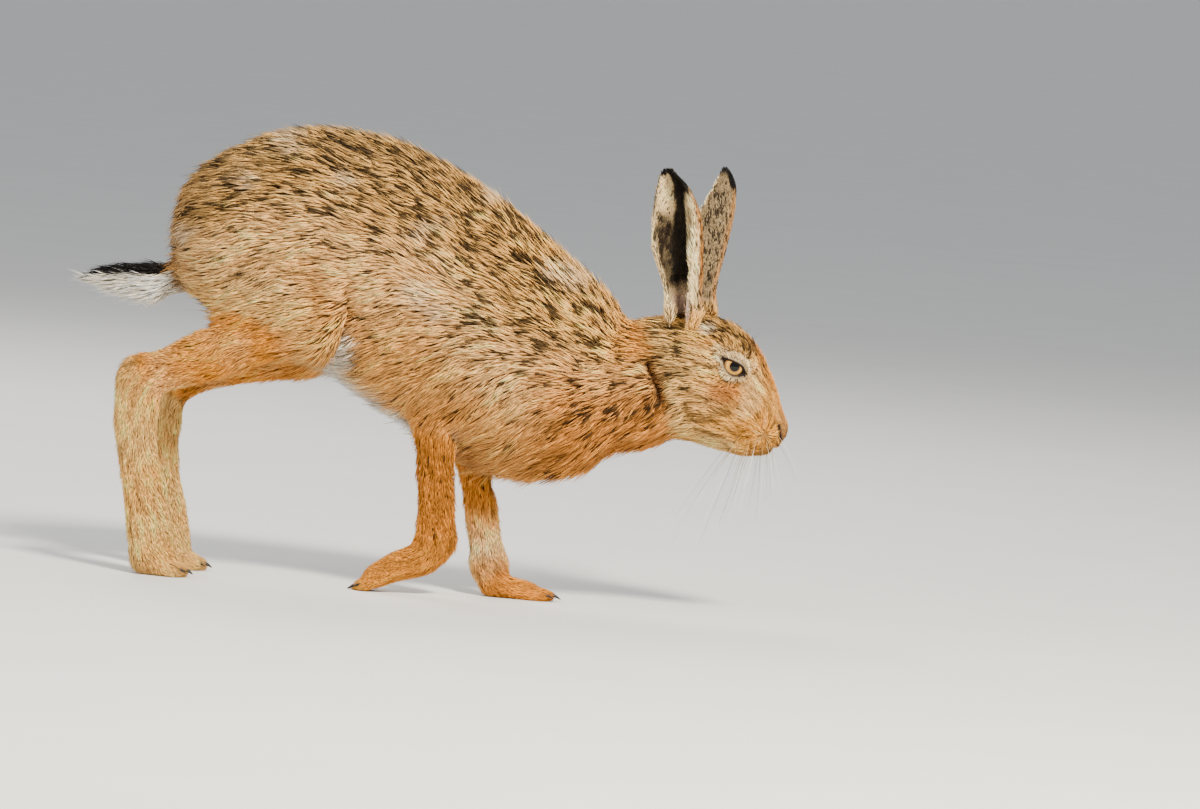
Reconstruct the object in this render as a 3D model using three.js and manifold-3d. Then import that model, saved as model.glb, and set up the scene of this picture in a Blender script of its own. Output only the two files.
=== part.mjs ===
// A brown hare at life size, walking: the left forefoot carries it, the right forefoot trails,
// and both hind feet push off from their toes. Millimetres, +X forward, +Y to the hare's left,
// +Z up, with the floor at z = 0 and the origin under the middle of the whole animal.
//
// The animal is one smooth field: rows of round stations along each bone, blended together.
// The zero surface of the field is the outline of the coat. Thin cuts part it into its nodes.
import * as THREE from "three";
import { mergeVertices } from "three/addons/utils/BufferGeometryUtils.js";
import Module from "manifold-3d";

const wasm = await Module();
wasm.setup();

// Driving sizes.
const GAP = 0.3; // between two nodes that touch
const CUT = 0.15; // half of it, on either side of a cut
const FAR = 400; // past everything, for open ends of a region
const LEFT = 1;
const RIGHT = -1;

const HIP_Y = 31;
const KNEE_Y = 36;
const HOCK_Y = 34;
const TOE_Y = 35;
const SHOULDER_Y = 35;
const PAW_Y = 19;

const EYE_RADIUS = 10;
const EYE = { x: 210.5, y: 17.6, z: 181.5 };
const LID_THICKNESS = 1.9;
const EYE_OPENING = { length: 19.5, upper: 4.6, lower: 6.6, slope: -29 };

const EAR_THICKNESS = 2.4; // in the middle of the sheet
const EAR_RIM_THICKNESS = 1.4;

// Colours of the coat's main areas.
const COLOURS = {
  back: 0x8a6a45,
  flank: 0xb98a58,
  chest: 0xb5783f,
  face: 0xa98256,
  leg: 0xc08748,
  tail: 0xe9e5dd,
  ear: 0x8d7355,
  eye: 0x1b120a,
};

// A station is [x, y, z, radius in side view, half width across]. Stations run along a bone.
const TRUNK = [
  [-131, 0, 247, 64, 47],
  [-101, 0, 249, 76.4, 54],
  [-68, 0, 240.5, 86, 55],
  [-34, 0, 227.5, 87, 54],
  [0, 0, 208, 87, 54],
  [37, 0, 184, 84.5, 53],
  [71, 0, 164.5, 78.5, 49],
  [101, 0, 157.5, 57, 42],
  [126, 0, 157.5, 47, 36],
  [150, 0, 163, 46.5, 33],
  [172, 0, 168.5, 42, 30],
];
const HEAD = [
  [172, 0, 168.5, 41.5, 30],
  [192.5, 0, 174.5, 40.7, 28.5],
  [214, 0, 156.5, 32.5, 23],
  [232.5, 0, 140, 22.4, 16],
];
const JAW = [
  [190, 0, 138, 15.5, 17],
  [206, 0, 131.5, 12, 13],
  [222, 0, 126.5, 9, 9.5],
];
const NOSE = [
  [238, 0, 148, 8, 8],
  [247.5, 0, 140.5, 7, 7.4],
  [249, 0, 136, 6, 6.6],
];
const TAIL = [
  [-180, 0, 214, 13.5, 11],
  [-196, 0, 209, 15, 13],
  [-208, 0, 206.2, 15, 13.5],
  [-226, 0, 206, 11.8, 11],
  [-242.5, 0, 206, 7.5, 7.5],
  [-255.5, 0, 203.7, 2.4, 2.6],
];

const browOf = (side) => [
  [196, side * 21.5, 196.5, 6, 5],
  [209, side * 20, 197.5, 6, 5],
  [221, side * 16, 192, 5.5, 4.5],
];
const cheekOf = (side) => [
  [186, side * 13, 152, 17, 13.5],
  [204, side * 13, 145, 15, 11.5],
];
const whiskerPadOf = (side) => [
  [226, side * 7, 134, 15, 9.5],
  [237, side * 6.5, 134.5, 14, 9],
];
const thighOf = (side) => [
  [-139, side * HIP_Y, 229, 45, 23],
  [-112, side * (HIP_Y + 2), 206, 34, 21],
  [-88, side * KNEE_Y, 190, 24.5, 17],
];
const shoulderOf = (side) => [
  [48, side * (SHOULDER_Y - 2), 196, 30, 15],
  [34, side * SHOULDER_Y, 160, 29, 17],
];

const SHANK_RIGHT = [
  [-88, -KNEE_Y, 190, 24.3, 17],
  [-125, -KNEE_Y, 176, 23.5, 15],
  [-164.5, -HOCK_Y - 1, 157.5, 19, 12],
  [-190, -HOCK_Y, 146, 15.7, 10.5],
  [-207, -HOCK_Y, 139, 16, 10],
];
const FOOT_RIGHT = [
  [-207, -HOCK_Y, 139, 16, 10],
  [-208.5, -HOCK_Y, 113.5, 16.8, 11],
  [-205, -HOCK_Y, 85, 15, 11],
  [-198.5, -HOCK_Y, 57, 15, 11.5],
  [-192, -TOE_Y, 30, 16.5, 13],
  [-190, -TOE_Y, 13.5, 16, 14],
];
const SHANK_LEFT = [
  [-73, KNEE_Y, 172, 21.5, 16],
  [-97, KNEE_Y, 162.5, 20.7, 15],
  [-125, KNEE_Y, 156.5, 18.6, 13],
  [-153, HOCK_Y + 1, 148.5, 16.4, 11.5],
  [-171, HOCK_Y, 140.5, 14.6, 10.5],
  [-191, HOCK_Y, 133, 15.4, 10],
];
const FOOT_LEFT = [
  [-191, HOCK_Y, 133, 15.4, 10],
  [-193.5, HOCK_Y, 100.5, 14.8, 11],
  [-192, HOCK_Y, 72, 14.2, 11],
  [-187, HOCK_Y, 51, 14.5, 11.5],
  [-183, TOE_Y, 28, 16, 13],
  [-181, TOE_Y, 13.5, 16, 14],
];
const ARM_RIGHT = [
  [22.5, -SHOULDER_Y, 147, 27, 16],
  [6, -33, 137, 21.5, 14],
  [5, -30, 117, 17.5, 12],
  [7, -27, 92, 15, 11],
  [9.5, -24, 64, 14.4, 10.5],
  [11.5, -22, 41, 14, 11],
];
const PAW_RIGHT = [
  [11.5, -22, 41, 14, 11],
  [4, -21, 28, 13, 11.5],
  [-16, -PAW_Y - 1, 18.5, 10.5, 12],
  [-30, -PAW_Y - 1, 11, 8, 11.5],
];
const ARM_LEFT = [
  [30, SHOULDER_Y - 1, 130, 24, 15],
  [29, 31, 112, 18.5, 13],
  [35, 26, 84, 12.5, 10.5],
  [40.5, 23, 63, 13, 10.5],
  [45, 21, 42, 12.4, 10],
  [49.5, 20, 24, 12.8, 10.5],
];
const PAW_LEFT = [
  [49.5, 20, 24, 12.8, 10.5],
  [54, PAW_Y, 11, 11.5, 12],
  [63, PAW_Y, 7.5, 9, 12.5],
  [78, PAW_Y, 6, 7, 12],
];

// Toes of one foot: each runs from the ball of the foot to its tip, and the row fans out.
const TOE_SPREAD = [-1, -0.36, 0.32, 1];
const TOE_REACH = [0.78, 1, 0.97, 0.72];
function toesOf(ball, tip, halfRow, radius) {
  return TOE_SPREAD.map((spread, i) => {
    const reach = TOE_REACH[i];
    const at = (share, widen, r) => [
      ball[0] + (tip[0] - ball[0]) * share,
      ball[1] + spread * halfRow * widen,
      ball[2] + (tip[2] - ball[2]) * share,
      r,
      r * 0.85,
    ];
    return [
      at(0, 0.75, radius),
      at(0.55 * reach, 0.95, radius * 1.02),
      at(reach, 1.05, radius * 0.82),
    ];
  });
}
const HIND_TOES_RIGHT = toesOf([-188, -TOE_Y, 9], [-168, -TOE_Y, 4.2], 10, 6.8);
const HIND_TOES_LEFT = toesOf([-179, TOE_Y, 9], [-158, TOE_Y, 4.2], 10, 6.8);
const TRAILING_TOES = toesOf([-22, -PAW_Y - 1, 12.5], [-41, -PAW_Y - 1, 2.6], 8.5, 5.6);
const PLANTED_TOES = toesOf([70, PAW_Y, 6], [94, PAW_Y, 3.6], 8.5, 5.4);

// Fills in stations between those given, on a smooth curve through them.
function smoothed(stations, steps = 4) {
  const out = [];
  const at = (i) => stations[Math.min(Math.max(i, 0), stations.length - 1)];
  for (let i = 0; i < stations.length - 1; i++) {
    for (let k = 0; k < steps; k++) {
      const t = k / steps;
      out.push(
        at(i).map((b, j) => {
          const a = at(i - 1)[j];
          const c = at(i + 1)[j];
          const d = at(i + 2)[j];
          const linear = (c - a) * t;
          const square = (2 * a - 5 * b + 4 * c - d) * t * t;
          const cube = (3 * b - a - 3 * c + d) * t * t * t;
          return b + (linear + square + cube) / 2;
        }),
      );
    }
  }
  out.push(stations[stations.length - 1]);
  return out;
}

// Distance to the skin round a row of stations, about true near the surface.
function strand(stations, steps) {
  const row = smoothed(stations, steps);
  return (x, y, z) => {
    let best = Infinity;
    for (let i = 0; i < row.length - 1; i++) {
      const a = row[i];
      const b = row[i + 1];
      const ex = b[0] - a[0];
      const ez = b[2] - a[2];
      const along = ((x - a[0]) * ex + (z - a[2]) * ez) / (ex * ex + ez * ez);
      const t = Math.min(Math.max(along, 0), 1);
      const radius = a[3] + (b[3] - a[3]) * t;
      const squeeze = (a[4] + (b[4] - a[4]) * t) / radius;
      const dx = x - a[0] - ex * t;
      const dz = z - a[2] - ez * t;
      const dy = (y - a[1] - (b[1] - a[1]) * t) / squeeze;
      const flat = dx * dx + dz * dz;
      const length = Math.sqrt(flat + dy * dy);
      const slope = Math.sqrt(flat + (dy / squeeze) ** 2) / (length || 1) || 1;
      best = Math.min(best, (length - radius) / slope);
    }
    return best;
  };
}

// Union of two distances, rounded over about the blend width.
function blend(a, b, width) {
  const h = Math.max(width - Math.abs(a - b), 0) / width;
  return Math.min(a, b) - (h * h * width) / 4;
}

const bothSides = (make) => [strand(make(LEFT)), strand(make(RIGHT))];
const toeRow = (rows) => rows.map((row) => strand(row, 2));
// Each layer is joined to all before it, over its own blend width.
const LAYERS = [
  { width: 14, parts: [strand(TRUNK)] },
  { width: 8, parts: bothSides(thighOf) },
  { width: 16, parts: bothSides(shoulderOf) },
  { width: 9, parts: [strand(HEAD)] },
  { width: 6, parts: [strand(JAW), ...bothSides(cheekOf)] },
  { width: 5, parts: [...bothSides(whiskerPadOf), strand(NOSE)] },
  { width: 6, parts: bothSides(browOf) },
  { width: 12, parts: [strand(SHANK_RIGHT), strand(SHANK_LEFT)] },
  { width: 8, parts: [strand(FOOT_RIGHT), strand(FOOT_LEFT)] },
  { width: 10, parts: [strand(ARM_RIGHT), strand(ARM_LEFT)] },
  { width: 6, parts: [strand(PAW_RIGHT), strand(PAW_LEFT)] },
  { width: 5, parts: [strand(TAIL)] },
  {
    width: 1.6,
    parts: [HIND_TOES_RIGHT, HIND_TOES_LEFT, TRAILING_TOES, PLANTED_TOES].flatMap(toeRow),
  },
];
const LID_BLEND = 5;

function hare(x, y, z) {
  let d = Infinity;
  for (const { width, parts } of LAYERS) {
    for (const part of parts) d = d === Infinity ? part(x, y, z) : blend(d, part(x, y, z), width);
  }
  const toEye = Math.hypot(x - EYE.x, Math.abs(y) - EYE.y, z - EYE.z);
  return blend(d, toEye - EYE_RADIUS - LID_THICKNESS, LID_BLEND);
}

// The field's surface inside a box, as a closed mesh of cells of the given size.
const CORNERS = [0, 1, 2, 3, 4, 5, 6, 7].map((n) => [n & 1, (n >> 1) & 1, n >> 2]);
const EDGES = CORNERS.flatMap((a, i) =>
  CORNERS.map((b, j) => [i, j, a, b]).filter(
    ([, j, , b]) => i < j && a.reduce((sum, v, k) => sum + Math.abs(v - b[k]), 0) === 1,
  ),
);
function surface(field, low, high, cell, shift = 0) {
  const count = [0, 1, 2].map((k) => Math.ceil((high[k] - low[k]) / cell[k]) + 1);
  const index = (i, j, k) => (i * count[1] + j) * count[2] + k;
  const values = new Float64Array(count[0] * count[1] * count[2]);
  for (let i = 0; i < count[0]; i++)
    for (let j = 0; j < count[1]; j++)
      for (let k = 0; k < count[2]; k++) {
        const rim = [i, j, k].some((n, a) => n === 0 || n === count[a] - 1);
        const place = [i, j, k].map((n, a) => low[a] + n * cell[a]);
        values[index(i, j, k)] = rim ? cell[0] : field(...place) - shift;
      }
  fillCorners(values, count, index);
  const points = [];
  const pointOf = new Map();
  for (let i = 0; i < count[0] - 1; i++)
    for (let j = 0; j < count[1] - 1; j++)
      for (let k = 0; k < count[2] - 1; k++) {
        const at = CORNERS.map((c) => values[index(i + c[0], j + c[1], k + c[2])]);
        const sum = [0, 0, 0];
        let crossings = 0;
        for (const [p, q, a, b] of EDGES) {
          if (at[p] < 0 === at[q] < 0) continue;
          const t = at[p] / (at[p] - at[q]);
          for (let n = 0; n < 3; n++) sum[n] += a[n] + (b[n] - a[n]) * t;
          crossings++;
        }
        if (!crossings) continue;
        pointOf.set(index(i, j, k), points.length / 3);
        [i, j, k].forEach((n, a) => points.push(low[a] + (n + sum[a] / crossings) * cell[a]));
      }
  const triangles = [];
  const AXES = [
    [0, 1, 2],
    [1, 2, 0],
    [2, 0, 1],
  ];
  for (let i = 0; i < count[0] - 1; i++)
    for (let j = 0; j < count[1] - 1; j++)
      for (let k = 0; k < count[2] - 1; k++)
        for (const [along, u, v] of AXES) {
          const here = [i, j, k];
          const next = here.map((n, a) => n + (a === along ? 1 : 0));
          const inside = values[index(...here)] < 0;
          if (inside === values[index(...next)] < 0) continue;
          const ring = [
            [0, 0],
            [1, 0],
            [1, 1],
            [0, 1],
          ].map(([du, dv]) => {
            const c = [...here];
            c[u] -= du;
            c[v] -= dv;
            return pointOf.get(index(...c));
          });
          if (!inside) ring.reverse();
          const [a, b, c, d] = ring;
          const span = (p, q) =>
            Math.hypot(...[0, 1, 2].map((n) => points[3 * p + n] - points[3 * q + n]));
          if (span(a, c) < span(b, d)) triangles.push(a, b, c, a, c, d);
          else triangles.push(a, b, d, b, c, d);
        }
  settle(field, points, cell, shift);
  return { points, triangles };
}

// Where only two opposite corners of a cell's side are inside, takes one more inside, so that
// no two sheets of the surface meet along an edge.
const FILL_ROUNDS = 6;
const BARELY_INSIDE = -0.2;
function fillCorners(values, count, index) {
  for (let round = 0; round < FILL_ROUNDS; round++)
    for (let i = 1; i < count[0] - 2; i++)
      for (let j = 1; j < count[1] - 2; j++)
        for (let k = 1; k < count[2] - 2; k++)
          for (const [u, v] of [
            [0, 1],
            [1, 2],
            [2, 0],
          ]) {
            const corner = (du, dv) => {
              const c = [i, j, k];
              c[u] += du;
              c[v] += dv;
              return index(...c);
            };
            const ring = [corner(0, 0), corner(1, 0), corner(1, 1), corner(0, 1)];
            const inside = ring.map((n) => values[n] < 0);
            if (inside[0] !== inside[2] || inside[1] !== inside[3] || inside[0] === inside[1]) continue;
            const outer = ring.filter((n, m) => !inside[m]);
            values[values[outer[0]] < values[outer[1]] ? outer[0] : outer[1]] = BARELY_INSIDE;
          }
}

// Moves each point along the field's slope onto the surface, by no more than half a cell.
const SETTLE_ROUNDS = 2;
const PROBE = 0.05;
function settle(field, points, cell, shift) {
  const most = Math.min(...cell) / 2;
  for (let i = 0; i < points.length; i += 3) {
    for (let round = 0; round < SETTLE_ROUNDS; round++) {
      const [x, y, z] = points.slice(i, i + 3);
      const d = field(x, y, z) - shift;
      if (Math.abs(d) > most) break;
      const slope = [
        (field(x + PROBE, y, z) - shift - d) / PROBE,
        (field(x, y + PROBE, z) - shift - d) / PROBE,
        (field(x, y, z + PROBE) - shift - d) / PROBE,
      ];
      const steep = slope.reduce((sum, s) => sum + s * s, 0);
      if (steep < 0.2) break;
      slope.forEach((s, n) => (points[i + n] -= (d * s) / steep));
    }
  }
}

// Between three.js geometry and solids.
function solidOf(geometry) {
  const bare = geometry.index ? geometry.toNonIndexed() : geometry.clone();
  bare.deleteAttribute("normal");
  bare.deleteAttribute("uv");
  const merged = mergeVertices(bare, 1e-4);
  return new wasm.Manifold(
    new wasm.Mesh({
      numProp: 3,
      vertProperties: merged.attributes.position.array,
      triVerts: new Uint32Array(merged.index.array),
    }),
  );
}
function geometryOf(points, triangles) {
  return new THREE.BufferGeometry()
    .setAttribute("position", new THREE.BufferAttribute(new Float32Array(points), 3))
    .setIndex(triangles);
}
// Pulls the ends of very short edges together, and drops the slivers that this closes.
const SHORTEST_EDGE = 0.04;
function withoutSlivers(points, triangles) {
  const root = [...Array(points.length / 3).keys()];
  const rootOf = (i) => (root[i] === i ? i : (root[i] = rootOf(root[i])));
  const span = (a, b) =>
    Math.hypot(...[0, 1, 2].map((n) => points[3 * a + n] - points[3 * b + n]));
  for (let i = 0; i < triangles.length; i++) {
    const a = triangles[i];
    const b = triangles[i % 3 === 2 ? i - 2 : i + 1];
    if (span(a, b) < SHORTEST_EDGE) root[rootOf(b)] = rootOf(a);
  }
  const kept = new Map();
  for (let i = 0; i < triangles.length; i += 3) {
    const [a, b, c] = [0, 1, 2].map((n) => rootOf(triangles[i + n]));
    if (a === b || b === c || c === a) continue;
    const key = [a, b, c].sort((p, q) => p - q).join();
    if (kept.has(key)) kept.delete(key);
    else kept.set(key, [a, b, c]);
  }
  return [...kept.values()].flat();
}
function meshOf(name, solid, colour, roughness = 0.9) {
  const pieces = solid.decompose();
  const whole = pieces.reduce((a, b) => (a.volume() > b.volume() ? a : b));
  const { vertProperties, triVerts } = whole.getMesh();
  const rough = geometryOf(vertProperties, withoutSlivers(vertProperties, [...triVerts]));
  const geometry = mergeVertices(rough, 1e-5);
  geometry.computeVertexNormals();
  const material = new THREE.MeshStandardMaterial({ color: colour, roughness, metalness: 0 });
  const mesh = new THREE.Mesh(geometry, material);
  mesh.name = name;
  return mesh;
}

// A region of space is a box with slanting planes. A plane is [x, z, nx, nz], facing out.
function regionSolid({ low, high, planes = [] }, grow) {
  const size = low.map((v, k) => high[k] - v + 2 * grow);
  const box = new THREE.BoxGeometry(...size);
  box.translate(...low.map((v, k) => (v + high[k]) / 2));
  return planes.reduce((solid, [x, z, nx, nz]) => {
    const length = Math.hypot(nx, nz);
    const offset = (x * nx + z * nz) / length + grow;
    return solid.trimByPlane([-nx / length, 0, -nz / length], -offset);
  }, solidOf(box));
}

// Nodes of the body, each with its region. Every node leaves out the regions of those before it.
const FLOOR = -CUT; // so that the soles lie at zero once the gap is taken off
const side = (name, sign, region) => ({ name: `${name}_${sign > 0 ? "left" : "right"}`, ...region });
function sided(sign, x, y, z) {
  const across = sign > 0 ? y : [-y[1], -y[0]];
  return { low: [x[0], across[0], z[0]], high: [x[1], across[1], z[1]] };
}
const KNEE_CUT = [-159.4, 181, 0.669, 0.743];
const LEG_CELL = [6.8, 5.8, 11.5];
const BODY_CELL = [13, 12, 12.5];
const TOE_CELL = [4.9, 3.8, 4.4];
const BODY_NODES = [
  side("hind_toes", RIGHT, { ...sided(RIGHT, [-215, -148], [0, 70], [FLOOR, 31]), cell: TOE_CELL }),
  side("hind_toes", LEFT, { ...sided(LEFT, [-207, -138], [0, 70], [FLOOR, 31]), cell: TOE_CELL }),
  side("hind_foot", RIGHT, { ...sided(RIGHT, [-240, -150], [0, 70], [31, 121]), cell: LEG_CELL }),
  side("hind_foot", LEFT, { ...sided(LEFT, [-230, -150], [0, 70], [31, 115]), cell: LEG_CELL }),
  side("shank", RIGHT, {
    ...sided(RIGHT, [-240, -100], [0, 70], [100, 181]),
    planes: [KNEE_CUT],
    cell: [9.5, 5.8, 6.4],
  }),
  side("shank", LEFT, {
    ...sided(LEFT, [-240, -100], [0, 70], [100, 181]),
    planes: [KNEE_CUT],
    cell: [9.5, 5.8, 6.4],
  }),
  side("forepaw", RIGHT, { ...sided(RIGHT, [-60, 40], [0, 60], [FLOOR, 47]), cell: TOE_CELL }),
  side("forepaw", LEFT, { ...sided(LEFT, [20, 110], [0, 60], [FLOOR, 32]), cell: TOE_CELL }),
  side("forearm", RIGHT, { ...sided(RIGHT, [-30, 30], [10, 60], [47, 114]), cell: LEG_CELL }),
  side("forearm", LEFT, { ...sided(LEFT, [10, 80], [5, 60], [32, 86]), cell: LEG_CELL }),
  { name: "tail", low: [-270, -30, 188], high: [-194, 30, 224], cell: [6.5, 5.2, 5.2], colour: "tail" },
  side("thigh", RIGHT, { ...sided(RIGHT, [-220, -58], [25, 90], [120, 258]), cell: BODY_CELL }),
  side("thigh", LEFT, { ...sided(LEFT, [-220, -52], [25, 90], [120, 258]), cell: BODY_CELL }),
  side("shoulder", RIGHT, { ...sided(RIGHT, [-22, 74], [29, 90], [60, 214]), cell: BODY_CELL }),
  side("shoulder", LEFT, { ...sided(LEFT, [-10, 74], [29, 90], [60, 214]), cell: BODY_CELL }),
  {
    name: "head",
    low: [140, -60, 100],
    high: [270, 60, 240],
    planes: [[153.4, 211.4, -0.969, -0.248]],
    cell: [4.9, 4.7, 4.9],
    colour: "face",
  },
  {
    name: "neck",
    low: [100, -80, 80],
    high: [200, 80, 260],
    planes: [[126, 150, -0.998, 0.058]],
    cell: [8.5, 8.5, 8.5],
    colour: "chest",
  },
  {
    name: "torso_chest",
    low: [-40, -90, 60],
    high: [150, 90, 330],
    planes: [[0.8, 215, -0.989, 0.147]],
    cell: BODY_CELL,
    colour: "chest",
  },
  {
    name: "torso_loin",
    low: [-100, -90, 100],
    high: [40, 90, 350],
    planes: [[-67.6, 240, -0.9965, -0.084]],
    cell: BODY_CELL,
    colour: "flank",
  },
  { name: "torso_rump", low: [-240, -90, 100], high: [-30, 90, 350], cell: BODY_CELL, colour: "back" },
];

// An ear is a cupped sheet. Each row is [height share, centre x, y, z, radius, half angle].
const EAR_ROWS_RIGHT = [
  [175, -14, 198, 12, 150],
  [174, -15, 214, 12.5, 148],
  [171.5, -16, 230, 13.5, 138],
  [168.5, -17, 246, 16, 124],
  [165, -18, 260, 18.3, 114],
  [163.5, -20, 274, 18.6, 106],
  [161.5, -22, 288, 17.2, 98],
  [158.5, -23.5, 302, 13.6, 90],
  [155, -24.5, 311, 9.2, 86],
  [152.5, -25, 317.5, 3.6, 80],
];
const EAR_ROWS_LEFT = [
  [184, 14, 200, 12, 150],
  [184, 14.5, 216, 12, 148],
  [183, 15.5, 232, 12.5, 138],
  [183, 17, 247, 14, 124],
  [184, 18.5, 261, 15.6, 114],
  [186, 20, 275, 16, 106],
  [188.5, 21.5, 289, 15.2, 98],
  [191.5, 22.5, 303, 12.4, 90],
  [193, 23, 312, 8.6, 86],
  [193.5, 23.5, 320, 3.4, 80],
];
const EAR_FACING = { right: [-0.5, -0.866], left: [-0.87, 0.5] };
const EAR_SEGMENTS = 8;
function earGeometry(rows, [facingX, facingY]) {
  const acrossX = -facingY;
  const acrossY = facingX;
  const smooth = smoothed(rows, 2);
  const top = smooth.length - 1;
  const points = [];
  const ring = 2 * (EAR_SEGMENTS + 1);
  smooth.forEach(([x, y, z, radius, halfAngle], row) => {
    const tip = Math.min(1, (top - row) / 3 + 0.5);
    for (let n = 0; n < ring; n++) {
      const outer = n <= EAR_SEGMENTS;
      const step = outer ? n : ring - 1 - n;
      const share = (2 * step) / EAR_SEGMENTS - 1;
      const angle = THREE.MathUtils.degToRad(halfAngle) * share;
      const thin = EAR_THICKNESS + (EAR_RIM_THICKNESS - EAR_THICKNESS) * share * share;
      const r = radius - (outer ? 0 : Math.min(thin * tip, radius * 0.55));
      const across = r * Math.sin(angle);
      const back = r * Math.cos(angle);
      points.push(x + acrossX * across - facingX * back);
      points.push(y + acrossY * across - facingY * back);
      points.push(z);
    }
  });
  const triangles = [];
  for (let row = 0; row < top; row++)
    for (let n = 0; n < ring; n++) {
      const a = row * ring + n;
      const b = row * ring + ((n + 1) % ring);
      triangles.push(a, b + ring, b, a, a + ring, b + ring);
    }
  for (let n = 0; n < EAR_SEGMENTS; n++) {
    const [a, b, c, d] = [n, n + 1, ring - 2 - n, ring - 1 - n];
    triangles.push(a, b, c, a, c, d);
    const t = top * ring;
    triangles.push(t + a, t + c, t + b, t + a, t + d, t + c);
  }
  return geometryOf(points, triangles);
}
const EARS = { right: EAR_ROWS_RIGHT, left: EAR_ROWS_LEFT };

// What is cut out of the head: eye sockets, the openings of the lids, nostrils, lips.
function eyeball(sign, radius, round = 12) {
  const ball = new THREE.SphereGeometry(radius, round, Math.round(round * 0.6));
  ball.rotateX(Math.PI / 2);
  ball.translate(EYE.x, sign * EYE.y, EYE.z);
  return ball;
}
function lidOpening(sign) {
  const half = EYE_OPENING.length / 2;
  const shape = new THREE.Shape();
  shape.moveTo(-half, 0);
  shape.quadraticCurveTo(0, 2 * EYE_OPENING.upper, half, 0);
  shape.quadraticCurveTo(0, -2 * EYE_OPENING.lower, -half, 0);
  const depth = 30;
  const prism = new THREE.ExtrudeGeometry(shape, { depth, bevelEnabled: false, curveSegments: 7 });
  prism.rotateX(Math.PI / 2);
  if (sign > 0) prism.translate(0, depth, 0);
  prism.rotateY(THREE.MathUtils.degToRad(-EYE_OPENING.slope));
  return prism.translate(EYE.x, sign * EYE.y, EYE.z);
}
function nostril(sign) {
  const slit = new THREE.SphereGeometry(1, 10, 6);
  slit.scale(1.5, 2.6, 4.2);
  slit.rotateY(0.5);
  slit.rotateZ(sign * 0.5);
  return slit.translate(252.2, sign * 4.4, 133.2);
}
function lipLine() {
  const plate = new THREE.CylinderGeometry(1, 1, 1.3, 28).rotateX(Math.PI / 2);
  const core = plate.clone().scale(19, 10.5, 3).translate(228, 0, 125.5);
  const rim = plate.clone().scale(30, 22, 1).translate(228, 0, 125.5);
  const behind = new THREE.BoxGeometry(40, 60, 20).translate(202, 0, 125);
  return solidOf(rim).subtract(solidOf(core)).subtract(solidOf(behind));
}
function cleft() {
  return new THREE.BoxGeometry(8, 0.9, 9).rotateY(0.35).translate(252, 0, 129.5);
}

const hareGroup = new THREE.Group();
const taken = [];
const nodeColour = (name) =>
  /paw|toes|foot|forearm|shank/.test(name) ? COLOURS.leg : COLOURS.flank;
for (const node of BODY_NODES) {
  const margin = node.cell.map((c) => 2.5 * c);
  const low = node.low.map((v, k) => v - margin[k]);
  const high = node.high.map((v, k) => v + margin[k]);
  const { points, triangles } = surface(hare, low, high, node.cell);
  let solid = solidOf(geometryOf(points, triangles)).intersect(regionSolid(node, -CUT));
  for (const region of taken) solid = solid.subtract(regionSolid(region, CUT));
  if (node.name === "head") {
    for (const sign of [LEFT, RIGHT]) {
      solid = solid
        .subtract(solidOf(eyeball(sign, EYE_RADIUS + GAP)))
        .subtract(solidOf(lidOpening(sign)))
        .subtract(solidOf(nostril(sign)));
    }
    solid = solid.subtract(lipLine()).subtract(solidOf(cleft()));
  }
  taken.push(node);
  const colour = node.colour ? COLOURS[node.colour] : nodeColour(node.name);
  hareGroup.add(meshOf(node.name, solid, colour));
}

const headShell = surface(hare, [130, -60, 150], [220, 60, 240], [4, 4, 4], GAP);
const headRoom = solidOf(geometryOf(headShell.points, headShell.triangles));
for (const sign of [LEFT, RIGHT]) {
  const name = sign > 0 ? "left" : "right";
  const ear = solidOf(earGeometry(EARS[name], EAR_FACING[name])).subtract(headRoom);
  hareGroup.add(meshOf(`ear_${name}`, ear, COLOURS.ear));
  hareGroup.add(meshOf(`eye_${name}`, solidOf(eyeball(sign, EYE_RADIUS)), COLOURS.eye, 0.1));
}

export default hareGroup;
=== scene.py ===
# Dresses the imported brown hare: one skin over its body and legs, ears, eyes, nose, claws,
# whiskers, and a coat of some 150,000 small tufts that follow the lie of the fur.
import math
from contextlib import contextmanager

import bmesh
import bpy
import numpy as np
from mathutils import Matrix, Vector


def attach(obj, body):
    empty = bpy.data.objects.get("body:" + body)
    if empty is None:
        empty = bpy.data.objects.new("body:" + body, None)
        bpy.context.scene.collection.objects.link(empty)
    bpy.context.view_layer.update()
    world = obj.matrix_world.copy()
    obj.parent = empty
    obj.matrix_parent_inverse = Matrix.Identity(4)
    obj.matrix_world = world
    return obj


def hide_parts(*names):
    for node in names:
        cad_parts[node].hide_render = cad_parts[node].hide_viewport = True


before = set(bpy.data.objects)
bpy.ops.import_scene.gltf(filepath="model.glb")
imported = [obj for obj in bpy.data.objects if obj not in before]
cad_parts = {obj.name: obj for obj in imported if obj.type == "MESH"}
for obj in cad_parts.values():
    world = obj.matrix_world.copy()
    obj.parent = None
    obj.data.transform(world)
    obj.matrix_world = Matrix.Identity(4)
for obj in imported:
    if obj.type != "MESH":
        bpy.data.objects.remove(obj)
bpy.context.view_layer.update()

# Lengths in this script are millimetres in the frame's axes until a mesh is made.
MM = 0.001
SEED = 7
rng = np.random.default_rng(SEED)

# Driving sizes.
EYE = np.array([210.5, 17.6, 181.5])  # the left eye's centre, the right one is its mirror image
EYE_RADIUS = 9.7
LID_RADIUS = 11.3
GAZE = np.array([0.24, 1.0, 0.02])
# The opening of the lids: its two halves along the slit, the heights of the lids' edges off it,
# where along it the upper edge is highest, and how steeply it falls towards the nose.
OPENING = {"back": 9.2, "front": 10.2, "upper": 2.3, "lower": 5.3, "peak": 3.6, "slope": 30.0}
SKIN_VOXEL = 1.75
EAR_VOXEL = 0.8

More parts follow.
